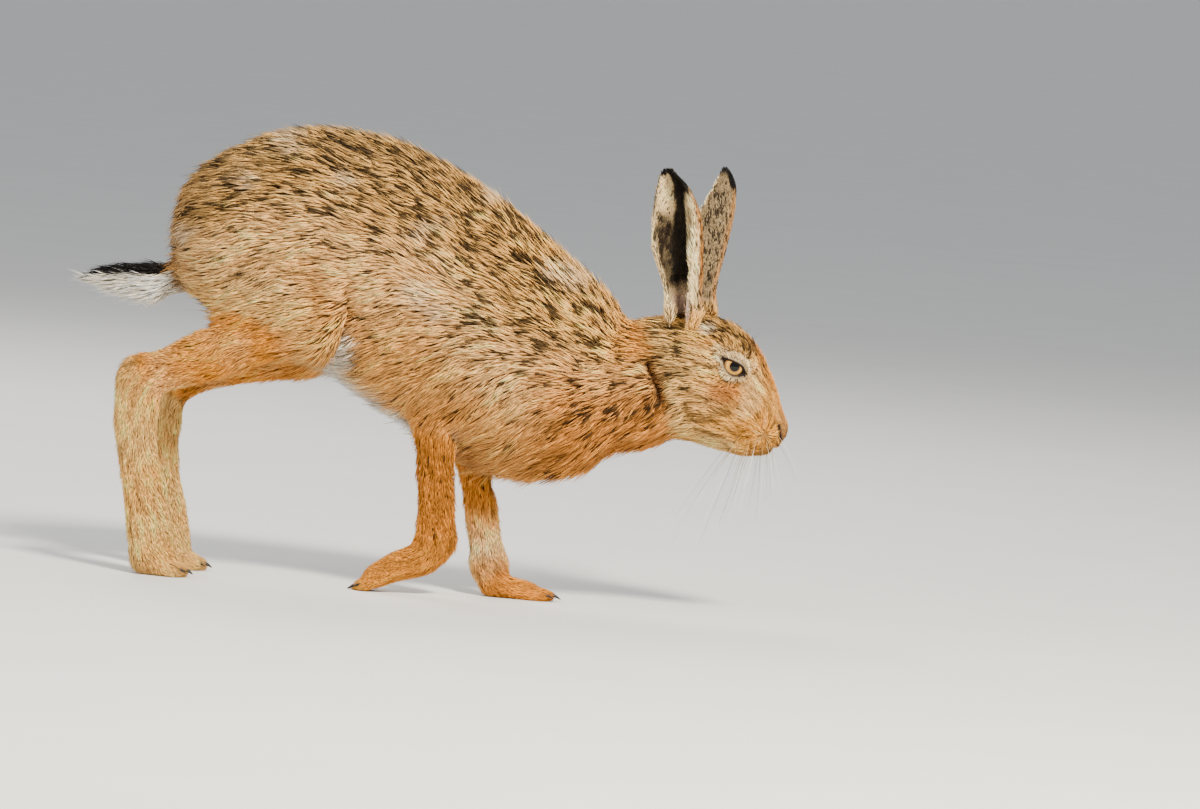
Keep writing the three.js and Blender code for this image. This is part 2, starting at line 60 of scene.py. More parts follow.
# Each chain is a bone with its coat. A station is [x, y, z, radius in side view, half width],
# and the coat is [depth, tuft length, tuft width] at the chain's two ends.
CHAINS = {
    "trunk": {
        "stations": [
            [150, 0, 163, 46, 33], [126, 0, 157, 47, 36], [101, 0, 157, 57, 42],
            [71, 0, 164, 78, 49], [37, 0, 184, 84, 53], [0, 0, 208, 87, 54], [-34, 0, 227, 87, 54],
            [-68, 0, 240, 86, 55], [-101, 0, 249, 76, 54], [-131, 0, 247, 64, 47],
            [-170, 0, 232, 34, 30],
        ],
        "coat": [[6, 15, 1.13], [6.5, 18, 1.26]],
    },
    "head": {
        "stations": [
            [248, 0, 138, 9, 9], [232, 0, 140, 22, 16], [214, 0, 156, 32, 23], [192, 0, 174, 41, 28],
            [168, 0, 170, 42, 30],
        ],
        "coat": [[1.3, 3.4, 0.46], [4.2, 11, 0.92]],
    },
    "tail": {
        "stations": [
            [-184, 0, 213, 14, 12], [-208, 0, 206, 15, 13], [-226, 0, 206, 12, 11],
            [-242, 0, 206, 8, 8], [-254, 0, 204, 3, 3],
        ],
        "coat": [[5, 17, 0.92], [3, 14, 0.76]],
    },
    "thigh_right": {
        "stations": [[-128, -32, 232, 45, 24], [-100, -34, 200, 32, 21], [-88, -36, 190, 25, 17]],
        "coat": [[6, 17, 1.18], [5, 15, 1.09]],
        "lie": [-0.95, 0, -0.3],
    },
    "shank_right": {
        "stations": [
            [-88, -36, 190, 24, 17], [-125, -36, 176, 23, 15], [-164, -35, 157, 19, 12],
            [-190, -34, 146, 16, 10], [-207, -34, 139, 16, 10],
        ],
        "coat": [[4.5, 13, 1.01], [2.8, 8, 0.76]],
    },
    "foot_right": {
        "stations": [
            [-207, -34, 139, 16, 10], [-208, -34, 113, 17, 11], [-205, -34, 85, 15, 11],
            [-198, -34, 57, 15, 11.5], [-192, -35, 30, 16, 13], [-188, -35, 12, 15, 14],
        ],
        "coat": [[2.8, 9, 0.8], [2.4, 8, 0.8]],
    },
    "toes_right": {
        "stations": [[-188, -35, 14, 15, 14], [-166, -35, 5, 8, 13]],
        "coat": [[2, 6.5, 0.71], [1.4, 5, 0.63]],
    },
    "thigh_left": {
        "stations": [[-128, 32, 232, 45, 24], [-96, 34, 200, 32, 21], [-73, 36, 172, 22, 16]],
        "coat": [[6, 17, 1.18], [5, 15, 1.09]],
        "lie": [-0.95, 0, -0.3],
    },
    "shank_left": {
        "stations": [
            [-73, 36, 172, 21, 16], [-97, 36, 162, 20, 15], [-125, 36, 156, 18, 13],
            [-153, 35, 148, 16, 11], [-191, 34, 133, 15, 10],
        ],
        "coat": [[4.5, 13, 1.01], [2.8, 8, 0.76]],
    },
    "foot_left": {
        "stations": [
            [-191, 34, 133, 15, 10], [-193, 34, 100, 15, 11], [-192, 34, 72, 14, 11],
            [-187, 34, 51, 14.5, 11.5], [-183, 35, 28, 16, 13], [-179, 35, 12, 15, 14],
        ],
        "coat": [[2.8, 9, 0.8], [2.4, 8, 0.8]],
    },
    "toes_left": {
        "stations": [[-179, 35, 14, 15, 14], [-156, 35, 5, 8, 13]],
        "coat": [[2, 6.5, 0.71], [1.4, 5, 0.63]],
    },
    "shoulder_right": {
        "stations": [[48, -33, 196, 30, 15], [34, -35, 160, 29, 17], [6, -34, 137, 22, 14]],
        "coat": [[6, 16, 1.18], [4.5, 13, 1.01]],
        "lie": [-0.75, 0, -0.66],
    },
    "arm_right": {
        "stations": [
            [6, -33, 137, 21, 14], [5, -30, 117, 17, 12], [7, -27, 92, 15, 11],
            [9.5, -24, 64, 14, 10.5], [11.5, -22, 41, 14, 11],
        ],
        "coat": [[4, 12, 0.97], [2.6, 8, 0.76]],
    },
    "paw_right": {
        "stations": [
            [11.5, -22, 41, 14, 11], [4, -21, 28, 13, 11.5], [-16, -20, 18, 10, 12],
            [-40, -20, 5, 6, 11],
        ],
        "coat": [[2.4, 8, 0.76], [1.4, 5.5, 0.63]],
    },
    "shoulder_left": {
        "stations": [[48, 33, 196, 30, 15], [34, 35, 160, 29, 17], [29, 31, 115, 19, 13]],
        "coat": [[6, 16, 1.18], [4.5, 13, 1.01]],
        "lie": [-0.6, 0, -0.8],
    },
    "arm_left": {
        "stations": [
            [29, 31, 112, 18, 13], [35, 26, 84, 12.5, 10.5], [40.5, 23, 63, 13, 10.5],
            [45, 21, 42, 12, 10], [49.5, 20, 24, 13, 10.5],
        ],
        "coat": [[3.6, 11, 0.92], [2.4, 7.5, 0.76]],
    },
    "paw_left": {
        "stations": [[49.5, 20, 24, 13, 10.5], [60, 19, 9, 10, 12], [94, 19, 4, 5, 12]],
        "coat": [[2.2, 7, 0.71], [1.3, 5, 0.59]],
    },
}
DROOP_BACK = 0.12  # how much the fur lies down as well as back, along the spine and on the flank
DROOP_FLANK = 0.85
NEARNESS = 7.0  # how fast one chain's hold gives way to the next


# Colours, as seen in daylight.
def colour(code):
    """A linear colour from its usual six-digit code."""
    parts = np.array([int(code[i : i + 2], 16) for i in (0, 2, 4)]) / 255
    return np.where(parts <= 0.04045, parts / 12.92, ((parts + 0.055) / 1.055) ** 2.4)


# The black of ticked hair tips, also used for a painted shadow line under the cheek.
TICK_AND_SHADE = colour("150e09")
BACK = colour("d9a760")
GRIZZLE = colour("b8955f")
SANDY = colour("e6b678")
FLANK = colour("dda25a")
BEIGE = colour("cfa973")
TAWNY = colour("cc812c")
AMBER = colour("e29637")
RUFOUS = colour("c47e33")
PALE = colour("f0d3a6")
WHITE = colour("f3eee4")
MOULT = colour("cfc3ae")
CHEEK = colour("e3c592")
FOOT = colour("ffda92")
FACE = colour("d2a05a")
GOLD = colour("d6983f")
# A rust-brown of the fur on the face; darkened, also used as painted shade in the creases.
RUST_AND_SHADE = colour("a5602a")
CREAM = colour("f5d9a8")
BUTTOCK = colour("a67a44")
BLACK = colour("0b0706")
# The grey-brown of the underfur, also used as painted shade under the belly between the thighs.
UNDERCOAT_AND_SHADE = colour("6f5a44")
EAR_BACK = colour("a48e6c")
EAR_DARK = colour("2b2017")
EAR_SKIN = colour("a98a84")
NOSE_BUFF = colour("c48e55")
NOSTRIL = colour("1a110d")
MOULT_SPOTS = [  # [x, z, radius] of tufts of grey-white winter coat still on the back and flank
    [-110, 313, 12], [-134, 285, 10], [-174, 247, 9], [-64, 289, 10], [4, 261, 8], [-9, 252, 8],
    [39, 280, 9], [87, 231, 11], [101, 225, 10], [-7, 213, 11], [10, 203, 9],
]


# Fields and shaping helpers.
STREAK_GAIN = 2.1


def noise(points, size, seed):
    """A smooth random value from -1 to 1 at each point, in lumps of about that size.

    The last number of each call is the seed of its own pattern.
    """
    q = points / size
    base = np.floor(q).astype(np.int64)
    f = q - base
    f = f * f * (3 - 2 * f)
    total = np.zeros(len(points))
    for corner in np.ndindex(2, 2, 2):
        c = base + np.array(corner)
        h = c[:, 0] * 73856093 ^ c[:, 1] * 19349663 ^ c[:, 2] * 83492791 ^ seed * 2971215073
        h = (h ^ (h >> 13)) * 1274126177 & 0x7FFFFFFF
        h = (h ^ (h >> 16)) & 0xFFFF
        weight = np.prod(np.where(np.array(corner), f, 1 - f), axis=1)
        total += weight * (h / 32767.5 - 1)
    return total


def wander(points, size, seed):
    """A smooth random vector at each point."""
    return np.stack([noise(points, size, seed + k) for k in range(3)], 1)


def streaks(points, lie, size, reach, seed):
    """A random value from -1 to 1 in streaks along the lie, of about that width and length."""
    total = sum(noise(points + lie * s, size, seed) for s in np.linspace(-reach / 2, reach / 2, 6))
    return np.clip(total / 6 * STREAK_GAIN, -1, 1)


def rank(values):
    """Each value's place in the order of all, from 0 to 1."""
    order = np.empty(len(values))
    order[np.argsort(values)] = np.arange(len(values)) / len(values)
    return order


def step(value, low, high):
    """0 below low, 1 above high, and a smooth rise between."""
    t = np.clip((value - low) / (high - low), 0, 1)
    return t * t * (3 - 2 * t)


def hump(value, centre, width):
    """1 at the centre, falling off to both sides in a bell of about that width."""
    return np.exp(-(((value - centre) / width) ** 2))


def mix(a, b, share):
    """The share is one number for each row, and a or b may be a single colour."""
    return a + (b - a) * np.reshape(share, (-1, 1))


def layered(colours, *layers):
    """Lays each layer's colour over the ones before it, by its share."""
    for colour_of_layer, share in layers:
        colours = mix(colours, colour_of_layer, share)
    return colours


def unit(v):
    return v / np.maximum(np.linalg.norm(v, axis=-1, keepdims=True), 1e-9)


def far_from(points, centre):
    return np.linalg.norm(points - centre, axis=1)


def laid_flat(lie, normal):
    """The lie within the surface, as unit vectors."""
    return unit(lie - normal * (lie * normal).sum(1, keepdims=True))


def spot(points, centre, radii, soft=0.5):
    """1 within an ellipsoid, falling to 0 outside it. The hare's right side mirrors its left."""
    p = points.copy()
    p[:, 1] = np.abs(p[:, 1])
    d = np.linalg.norm((p - np.array(centre)) / np.array(radii), axis=1)
    return 1 - step(d, 1 - soft, 1 + soft)


def trunk_height(points):
    """How high a point is on the trunk, from -1 at the belly to 1 along the back."""
    x, z = points[:, 0], points[:, 2]
    axis = np.interp(x, [-170, -131, -68, 0, 71, 126, 172], [232, 247, 240, 208, 164, 157, 168])
    radius = np.interp(x, [-170, -131, -68, 0, 71, 126, 172], [34, 64, 86, 87, 78, 47, 42])
    return (z - axis) / radius


def trunk_droop(points):
    """How much the fur of the trunk lies down as well as back: little on the back, more below."""
    low = step(-trunk_height(points), -0.35, 0.4)
    flank = low * step(points[:, 0], -75, -45)
    return DROOP_BACK + (DROOP_FLANK - DROOP_BACK) * flank


def coat_at(points):
    """The lie, the coat's sizes and each chain's share at every point."""
    total = np.zeros(len(points))
    lie = np.zeros((len(points), 3))
    sizes = np.zeros((len(points), 3))
    droop = trunk_droop(points)
    shares = {name: np.zeros(len(points)) for name in CHAINS}
    for name, chain in CHAINS.items():
        stations = np.array(chain["stations"], float)
        first, last = np.array(chain["coat"], float)
        count = len(stations) - 1
        for i in range(count):
            a, b = stations[i], stations[i + 1]
            along = b[:3] - a[:3]
            t = np.clip((points - a[:3]) @ along / (along @ along), 0, 1)
            radius = a[3] + (b[3] - a[3]) * t
            width = a[4] + (b[4] - a[4]) * t
            off = points - a[:3] - t[:, None] * along
            off[:, 1] *= radius / width
            weight = np.exp(-NEARNESS * np.linalg.norm(off, axis=1) / radius)
            way = np.array(chain.get("lie", along), float)
            if name == "trunk":
                way = unit(way) + np.outer(droop, [0, 0, -1])
            place = ((i + t) / count)[:, None]
            total += weight
            lie += weight[:, None] * unit(way)
            sizes += weight[:, None] * (first + (last - first) * place)
            shares[name] += weight
    return lie, sizes / total[:, None], {k: v / total for k, v in shares.items()}


def group(shares, *words):
    """The share of all chains whose names start with one of the words."""
    return sum(v for k, v in shares.items() if k.startswith(words))


def mirrored(points):
    """The points with their right half laid over the left, and the side of each."""
    side = np.where(points[:, 1] < 0, -1.0, 1.0)
    p = points.copy()
    p[:, 1] *= side
    return p, side


# The eye's own axes: along the slit, up across it, and out of the head.
GAZE = unit(GAZE)
SLOPE = math.radians(OPENING["slope"])
SLIT = unit(np.cross(np.cross(GAZE, [math.cos(SLOPE), 0, -math.sin(SLOPE)]), GAZE))
EYE_UP = unit(np.cross(SLIT, GAZE)) * np.sign(np.cross(SLIT, GAZE)[2])


def eye_frame(points):
    """Place along the slit, across it and out of the head, from the nearer eye's centre."""
    p, _ = mirrored(points)
    q = p - EYE
    return q @ SLIT, q @ EYE_UP, q @ GAZE


def slit_edge(along):
    """How high the upper lid's edge and how low the lower lid's are at a place along the slit."""
    back, front, peak = OPENING["back"], OPENING["front"], OPENING["peak"]
    t = np.where(along < peak, (along - peak) / (back + peak), (along - peak) / (front - peak))
    high = OPENING["upper"] * (1 - np.clip(np.abs(t), 0, 1) ** 1.8)
    u = np.where(along < 0, along / back, along / front)
    return high, -OPENING["lower"] * (1 - np.clip(np.abs(u), 0, 1) ** 2.2)


def slit_distance(points):
    """Below 0 inside the almond opening of the lids, above 0 outside, in millimetres."""
    along, across, out = eye_frame(points)
    high, low = slit_edge(along)
    past = np.maximum(across - high, low - across)
    ends = np.maximum(along - OPENING["front"], -OPENING["back"] - along)
    return np.where(out > 0, np.maximum(past, ends), 40)


def line_share(points, route, reach, soft=0.5):
    """1 on a line of [x, z] places in the side view, falling to 0 beyond its reach."""
    p = points[:, [0, 2]]
    nearest = np.full(len(p), 1e6)
    for a, b in zip(np.array(route[:-1], float), np.array(route[1:], float)):
        t = np.clip((p - a) @ (b - a) / ((b - a) @ (b - a)), 0, 1)
        nearest = np.minimum(nearest, np.linalg.norm(p - a - t[:, None] * (b - a), axis=1))
    return 1 - step(nearest / reach, 1 - soft, 1 + soft)


# Folds of the body, as [x, z] places in the side view. The right thigh's front edge comes first.
THIGH_EDGE = [[-77, 160], [-70, 176], [-63.4, 199], [-62.7, 216], [-60, 232]]
LEFT_THIGH_FORWARD = 14.0
NECK_CREASE = [[151.5, 177.5], [155, 171], [159.7, 162.4], [161.5, 156]]


# Markings, with painted shade between the thighs, under the cheek and in the creases. Each gives the
# colour of the fur's visible part, and how much of it is ticked black.
def trunk_markings(points, normals, large, middle):
    x, y, z = points.T
    below = -normals[:, 2]
    height = trunk_height(points) + 0.12 * large
    belly = step(below, 0.5, 0.85) * step(-x, -40, 0)
    shade_between_thighs = step(-x, 62, 74) * step(-np.abs(y), -30, -22)
    groin = spot(points, [-58, 34, 168], [10, 40, 19]) * step(x, -74, -66)
    nape = step(x, 118, 146)
    ragged = 5.0 * noise(points, 7, 6)
    moult = np.zeros(len(points))
    for place_x, place_z, radius in MOULT_SPOTS:
        across = np.hypot((x - place_x) / 1.4, z - place_z) + ragged
        moult = np.maximum(moult, 1 - step(across / radius, 0.1, 1.1))
    colours = layered(
        FLANK,
        (SANDY, step(height, -0.55, 0.0)),
        (BACK, step(height, 0.1, 0.6)),
        (GRIZZLE, 0.5 * step(height, 0.2, 0.9) * step(-x, -60, 60)),
        (RUFOUS, 0.8 * step(x, 55, 105) * step(-height, -0.5, 0.2)),
        (BUTTOCK, 0.6 * step(-x, 145, 180) * step(z, 200, 225)),
        (WHITE, belly * step(x, -74, -62)),
        # Painted shade: the underside between the thighs is darkened to the underfur's grey-brown.
        (UNDERCOAT_AND_SHADE, 0.8 * step(below, 0.1, 0.5) * shade_between_thighs),
        (WHITE, 0.95 * groin),
        (MOULT, 0.42 * moult),
        (TAWNY, 0.6 * nape * step(height, 0.1, 0.6)),
    )
    black = np.interp(height, [-0.6, -0.2, 0.1, 0.45, 0.8], [0.02, 0.03, 0.1, 0.35, 0.43])
    black = black + 0.05 * large + 0.08 * middle * step(height, 0, 0.3)
    black = black * (1 - 0.45 * step(-x, 110, 160))
    black = np.maximum(black, 0.2 * step(x, 70, 120) * step(-height, -0.6, 0.0))
    black = black * (1 - 0.7 * nape)
    return colours, black * (1 - 0.8 * moult) * (1 - belly) * (1 - groin)


FACE_TINT = np.array([0.94, 0.88, 0.74])
BROW_STREAK = [[199, 203], [206, 203], [218, 200], [234, 185], [241, 173]]
PALE_BAND = [[158, 206], [168, 190], [172, 168], [182, 141], [200, 126]]
CHEEK_SHADOW = [[184, 152], [186, 145], [193, 141], [204, 141.5]]
MUZZLE_BAND = [[226, 176], [230, 161], [226, 147]]


def head_markings(points, normals, middle, small):
    p, _ = mirrored(points)
    x, y, z = p.T
    crown = step(z + 0.55 * (x - 200), 192, 204)
    pale_band = line_share(points + 4 * np.stack([small, middle, small], 1), PALE_BAND, 7.5, 0.8)
    behind_eye = spot(points, [168, 28, 188], [24, 32, 24])
    muzzle_band = line_share(points, MUZZLE_BAND, 6.5, 0.6)
    cheek_shadow_line = line_share(points, CHEEK_SHADOW, 2.6, 0.8)
    bridge = step(normals[:, 2], 0.2, 0.6) * step(x, 218, 232)
    streak = line_share(points, BROW_STREAK, 3.6, 0.6) * step(y, 4, 7)
    ring_width = np.where(eye_frame(points)[1] > 0, 7.5, 4.5)
    ring = 1 - step(slit_distance(points), 0.6 * ring_width, 1.25 * ring_width)
    colours = layered(
        FACE,
        (GRIZZLE, 0.55 * crown + 0.35 * step(-x, -190, -172)),
        (PALE, 0.35 * spot(points, [188, 28, 182], [15, 20, 12])),
        (mix(GOLD, PALE, [0.6]), 0.5 * spot(points, [196, 30, 157], [17, 20, 14])),
        (CHEEK, 0.55 * pale_band * step(y, 6, 14)),
        (RUST_AND_SHADE, 0.7 * spot(points, [211, 28, 162], [12, 18, 10])),
        (GRIZZLE, 0.5 * behind_eye),
        (PALE, 0.45 * muzzle_band * step(y, 5, 9)),
        (GOLD, 0.8 * spot(points, [233, 14, 134], [14, 16, 13])),
        (CHEEK, 0.7 * spot(points, [206, 10, 124], [16, 16, 6])),
        # Painted shadow: a dark line under the cheek.
        (TICK_AND_SHADE, 0.55 * cheek_shadow_line * step(y, 12, 18)),
        (RUFOUS, 0.85 * bridge),
    )
    colours = layered(
        colours * FACE_TINT,
        (TICK_AND_SHADE, 0.3 * streak),
        (PALE, 0.85 * ring),
        (mix(WHITE, PALE, [0.7]), 0.75 * spot(points, [196, 12, 203], [5.5, 10, 5])),
        (NOSE_BUFF, 0.9 * spot(points, [252, 0, 139], [8, 12, 10])),
    )
    black = 0.36 * crown + (0.08 * middle + 0.1 * small) * crown + 0.26 * streak + 0.22 * behind_eye
    black = black + 0.07 * step(-x, -190, -165) - 0.3 * spot(points, [196, 12, 203], [7, 11, 6])
    return colours, np.clip(black, 0, 1) * (1 - step(x, 226, 240) * (1 - 0.5 * bridge)) * (1 - ring)


def leg_markings(points, shares, middle):
    z = points[:, 2]
    shank = mix(AMBER, PALE, 0.12 + 0.2 * middle)
    hind = mix(FOOT, AMBER, 0.48 + 0.25 * middle)
    hind = mix(hind, BUTTOCK, 0.3 * step(-z, -22, -8))
    fore = mix(AMBER, CREAM, shares["arm_left"] * step(-z, -75, -30) * 0.75)
    fore = mix(fore, TAWNY * 0.85, 0.8 * group(shares, "arm_right") + 0.6 * shares["paw_left"])
    return shank, hind, fore


def crease_shade_share(points):
    """1 in the creases of the neck and before each thigh, which are painted dark as painted shade,
    and 0 elsewhere.
    """
    y = np.abs(points[:, 1])
    neck = line_share(points - [2.5, 0, 0], NECK_CREASE, 3.8, 0.5) * step(y, 17, 22)
    ahead = points.copy()
    ahead[:, 0] -= np.where(points[:, 1] > 0, LEFT_THIGH_FORWARD, 0) + 1.5
    thigh = 0.8 * line_share(ahead, THIGH_EDGE[:4], 2.2, 0.9) * step(y, 24, 30)
    return np.maximum(neck, thigh)


def markings(points, normals, shares):
    y, z = np.abs(points[:, 1]), points[:, 2]
    large = noise(points, 46, 1)
    middle = noise(points, 19, 2)
    small = noise(points, 8, 3)
    body, body_black = trunk_markings(points, normals, large, middle)
    head, head_black = head_markings(points, normals, middle, small)
    shank, hind, fore = leg_markings(points, shares, middle)
    low_thigh = step(-z + 8 * middle, -222, -194)
    thigh = layered(
        body,
        (BEIGE, 0.8 * step(-z, -250, -215)),
        (mix(FOOT, AMBER, [0.42]), 0.95 * low_thigh),
        (WHITE, step(-y, -13, -8) * step(-z, -200, -180)),
    )
    shoulder = mix(body, TAWNY, 0.8 * step(-z, -160, -120))
    tail = mix(WHITE, BLACK, step(normals[:, 2] + 0.02 * (z - 206), 0.35, 0.6))
    face = step(shares["head"], 0.35, 0.65)
    colours = mix(body, head, face)
    black = body_black + (head_black - body_black) * face
    parts = [
        (group(shares, "thigh"), thigh, np.maximum(body_black * 0.55, 0.05) * (1 - low_thigh)),
        (group(shares, "shank"), shank, 0.0),
        (group(shares, "foot", "toes"), hind, 0.0),
        (group(shares, "arm", "paw"), fore, 0.015),
        (group(shares, "shoulder"), shoulder, body_black),
        (shares["tail"], tail, 0.0),
    ]
    for share, colours_of_part, ticked in parts:
        hold = step(share, 0.25, 0.75)
        colours = mix(colours, colours_of_part, hold)
        black = black + (ticked - black) * hold
    # Painted shade: the creases of the neck and before each thigh are darkened towards a deep brown.
    colours = mix(colours, RUST_AND_SHADE * 0.2, 0.92 * crease_shade_share(points))
    shade = 1 + 0.08 * middle + 0.06 * small
    return np.clip(colours * shade[:, None], 0, 1), np.clip(black, 0, 1)


# Making meshes.
def linked(name, data):
    """A new object in the scene."""
    obj = bpy.data.objects.new(name, data)
    bpy.context.scene.collection.objects.link(obj)
    return obj


def values_of(items, attribute, width, kind):
    """One attribute of every item, in rows of that width."""
    values = np.zeros(len(items) * width, kind)
    items.foreach_get(attribute, values)
    return values.reshape(-1, width)


def mesh_object(name, points, faces):
    """An object from points in millimetres and an array of faces that all have as many sides."""
    mesh = bpy.data.meshes.new(name)
    mesh.vertices.add(len(points))
    mesh.vertices.foreach_set("co", (np.asarray(points) * MM).astype(np.float32).ravel())
    mesh.loops.add(faces.size)
    mesh.loops.foreach_set("vertex_index", faces.astype(np.int32).ravel())
    mesh.polygons.add(len(faces))
    starts = np.arange(0, faces.size, faces.shape[1], dtype=np.int32)
    mesh.polygons.foreach_set("loop_start", starts)
    mesh.update(calc_edges=True)
    mesh.shade_smooth()
    return linked(name, mesh)


def read_mesh(mesh):
    """Points in millimetres, edges and triangles of a mesh."""
    mesh.calc_loop_triangles()
    points = values_of(mesh.vertices, "co", 3, np.float32).astype(float) / MM
    edges = values_of(mesh.edges, "vertices", 2, np.int32)
    return points, edges, values_of(mesh.loop_triangles, "vertices", 3, np.int32)


def write_points(mesh, points):
    mesh.vertices.foreach_set("co", (points * MM).astype(np.float32).ravel())
    mesh.update()


def corners_of(points, triangles):
    return (points[triangles[:, k]] for k in range(3))


def normals_of(points, triangles):
    a, b, c = corners_of(points, triangles)
    face = np.cross(b - a, c - a)
    total = np.zeros_like(points)
    for k in range(3):
        for axis in range(3):
            total[:, axis] += np.bincount(triangles[:, k], face[:, axis], len(points))
    return unit(total)


def relaxed(points, edges, rounds, hold=0.5):
    """The points moved towards the mean of their neighbours, by the hold of each."""
    count = np.bincount(edges.ravel(), minlength=len(points))
    for _ in range(rounds):
        mean = np.zeros_like(points)
        for axis in range(3):
            mean[:, axis] = np.bincount(edges[:, 0], points[edges[:, 1], axis], len(points))
            mean[:, axis] += np.bincount(edges[:, 1], points[edges[:, 0], axis], len(points))
        mean /= np.maximum(count, 1)[:, None]
        points = points + (mean - points) * np.reshape(hold, (-1, 1))
    return points


def paint(obj, colours, name="coat_colour"):
    layer = obj.data.color_attributes.new(name, "FLOAT_COLOR", "POINT")
    rgba = np.ones((len(colours), 4), np.float32)
    rgba[:, :3] = colours
    layer.data.foreach_set("color", rgba.ravel())


WELD = 0.002  # corners nearer than this are one


def remeshed(name, sources, voxel, grow=0.25, balls=()):
    """One closed surface round copies of the solids, each grown a little so that they join."""
    bm = bmesh.new()
    for source in sources:
        part = bmesh.new()
        part.from_mesh(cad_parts[source].data)
        bmesh.ops.remove_doubles(part, verts=part.verts, dist=WELD * MM)
        part.normal_update()
        for vertex in part.verts:
            vertex.co += vertex.normal * grow * MM
        copy = bpy.data.meshes.new("copy")
        part.to_mesh(copy)
        part.free()
        bm.from_mesh(copy)
        bpy.data.meshes.remove(copy)
    for centre, radius in balls:
        place = Matrix.Translation(Vector(centre) * MM)
        bmesh.ops.create_icosphere(bm, subdivisions=4, radius=radius * MM, matrix=place)
    mesh = bpy.data.meshes.new(name)
    bm.to_mesh(mesh)
    bm.free()
    obj = linked(name, mesh)
    modifier = obj.modifiers.new("remesh", "REMESH")
    modifier.mode = "VOXEL"
    modifier.voxel_size = voxel * MM
    graph = bpy.context.evaluated_depsgraph_get()
    made = bpy.data.meshes.new_from_object(obj.evaluated_get(graph))
    obj.modifiers.remove(modifier)
    obj.data = made
    bpy.data.meshes.remove(mesh)
    made.shade_smooth()
    return obj


@contextmanager
def edited(obj):
    """The object's mesh as a bmesh, written back at the end, with smooth faces."""
    bm = bmesh.new()
    bm.from_mesh(obj.data)
    yield bm
    bm.to_mesh(obj.data)
    bm.free()
    obj.data.shade_smooth()


def keep_largest(obj):
    """Drops every loose piece but the largest."""
    with edited(obj) as bm:
        left = set(bm.verts)
        best = set()
        while left:
            stack = [left.pop()]
            island = set(stack)
            while stack:
                near = {v for edge in stack.pop().link_edges for v in edge.verts} & left
                left -= near
                island |= near
                stack.extend(near)
            best = max(best, island, key=len)
        bmesh.ops.delete(bm, geom=[v for v in bm.verts if v not in best], context="VERTS")


def refined(obj, wanted):
    """Cuts every face whose middle is wanted into smaller ones."""
    with edited(obj) as bm:
        middles = np.array([face.calc_center_median() for face in bm.faces]) / MM
        chosen = {edge for face, yes in zip(bm.faces, wanted(middles)) if yes for edge in face.edges}
        bmesh.ops.subdivide_edges(bm, edges=list(chosen), cuts=1, use_grid_fill=True)
        bmesh.ops.triangulate(bm, faces=[f for f in bm.faces if len(f.verts) > 4])


# The skin.
NODE_NAMES = list(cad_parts)
FLESH = sorted(n for n in NODE_NAMES if not n.startswith(("ear", "eye")))
NOSE_MIDDLE = np.array([249, 0, 134])
NOSTRIL_PLACE = np.array([248.6, 6.5, 133.5])
NOSTRIL_ROUTE = [[246.4, 140.5], [246.9, 137], [248.1, 132.5], [249.6, 129], [251.2, 127]]


def near_face(points):
    p, _ = mirrored(points)
    return (far_from(p, EYE) < 19) | (far_from(p, NOSE_MIDDLE) < 17)


def very_near_face(points):
    p, _ = mirrored(points)
    near_slit = (far_from(p, EYE) < 16.5) & (np.abs(slit_distance(points)) < 4.5)
    return near_slit | (far_from(p, NOSTRIL_PLACE) < 8)


def carve_face(points, normals):
    """Nostrils, the cleft under the nose, the line of the mouth, cheeks, brows and the orbit."""
    p, _ = mirrored(points)
    x, y, z = p.T
    slit = line_share(points, NOSTRIL_ROUTE, 1.6, 0.6) * step(y, 2.6, 4.4)
    wing = line_share(points + [2.4, 0, 0], NOSTRIL_ROUTE, 2.6, 0.9) * step(y, 2.0, 4.0)
    cleft = hump(y, 0, 0.9) * step(-z, -134, -131) * step(x, 240, 246)
    pout = np.exp(-(((y - 4.2) / 2.6) ** 2) - ((z - 127.5) / 3.5) ** 2) * step(x, 240, 246)
    lip = np.interp(x, [214, 226, 238, 248, 252], [129.5, 126, 124.8, 125.4, 127])
    mouth = hump(z, lip, 0.95) * step(x, 214, 220) * step(-normals[:, 2], -0.8, -0.2)
    cheek = spot(points, [201, 28, 157], [16, 18, 14], 0.3) * step(y, 14, 20)
    under = line_share(points, CHEEK_SHADOW, 3.0, 0.8) * step(y, 12, 18)
    gap = slit_distance(points)
    above = step(eye_frame(points)[1], -1, 5)
    brow = hump(gap, 9.5, 2.6) * above
    hollow = hump(gap, 4.6, 1.8) * (0.35 + 0.65 * above)
    near_eye = 1 - step(far_from(p, EYE), 19, 25)
    rise = 1.1 * wing + 0.7 * pout - 4.2 * slit - 1.5 * cleft - 1.6 * mouth
    rise = rise + 1.6 * cheek - 1.5 * under + (1.7 * brow - 1.2 * hollow) * near_eye
    return points + normals * rise[:, None]


def fold_body(points, normals):
    """Sinks the groove before each thigh and the crease of the neck, and swells the thighs."""
    x, y, z = points.T
    edge = np.array(THIGH_EDGE)
    ahead = x - np.interp(z, edge[:, 1], edge[:, 0]) - np.where(y > 0, LEFT_THIGH_FORWARD, 0)
    hold = step(z, 158, 170) * step(-z, -226, -205) * step(np.abs(y), 20, 30)
    groove = hump(ahead, 2.5, 3.6)
    swell = hump(ahead, -9, 8)
    neck = line_share(points, NECK_CREASE, 2.2, 0.8) * step(np.abs(y), 18, 24)
    rise = hold * (2.4 * swell - 4.5 * groove) - 3.6 * neck
    return points + normals * rise[:, None]


LID_EDGE = 0.4  # how far past the slit the lid is drawn over the ball
EYE_CLEARANCE = 1.8  # how far inside the ball the skin lies within the slit


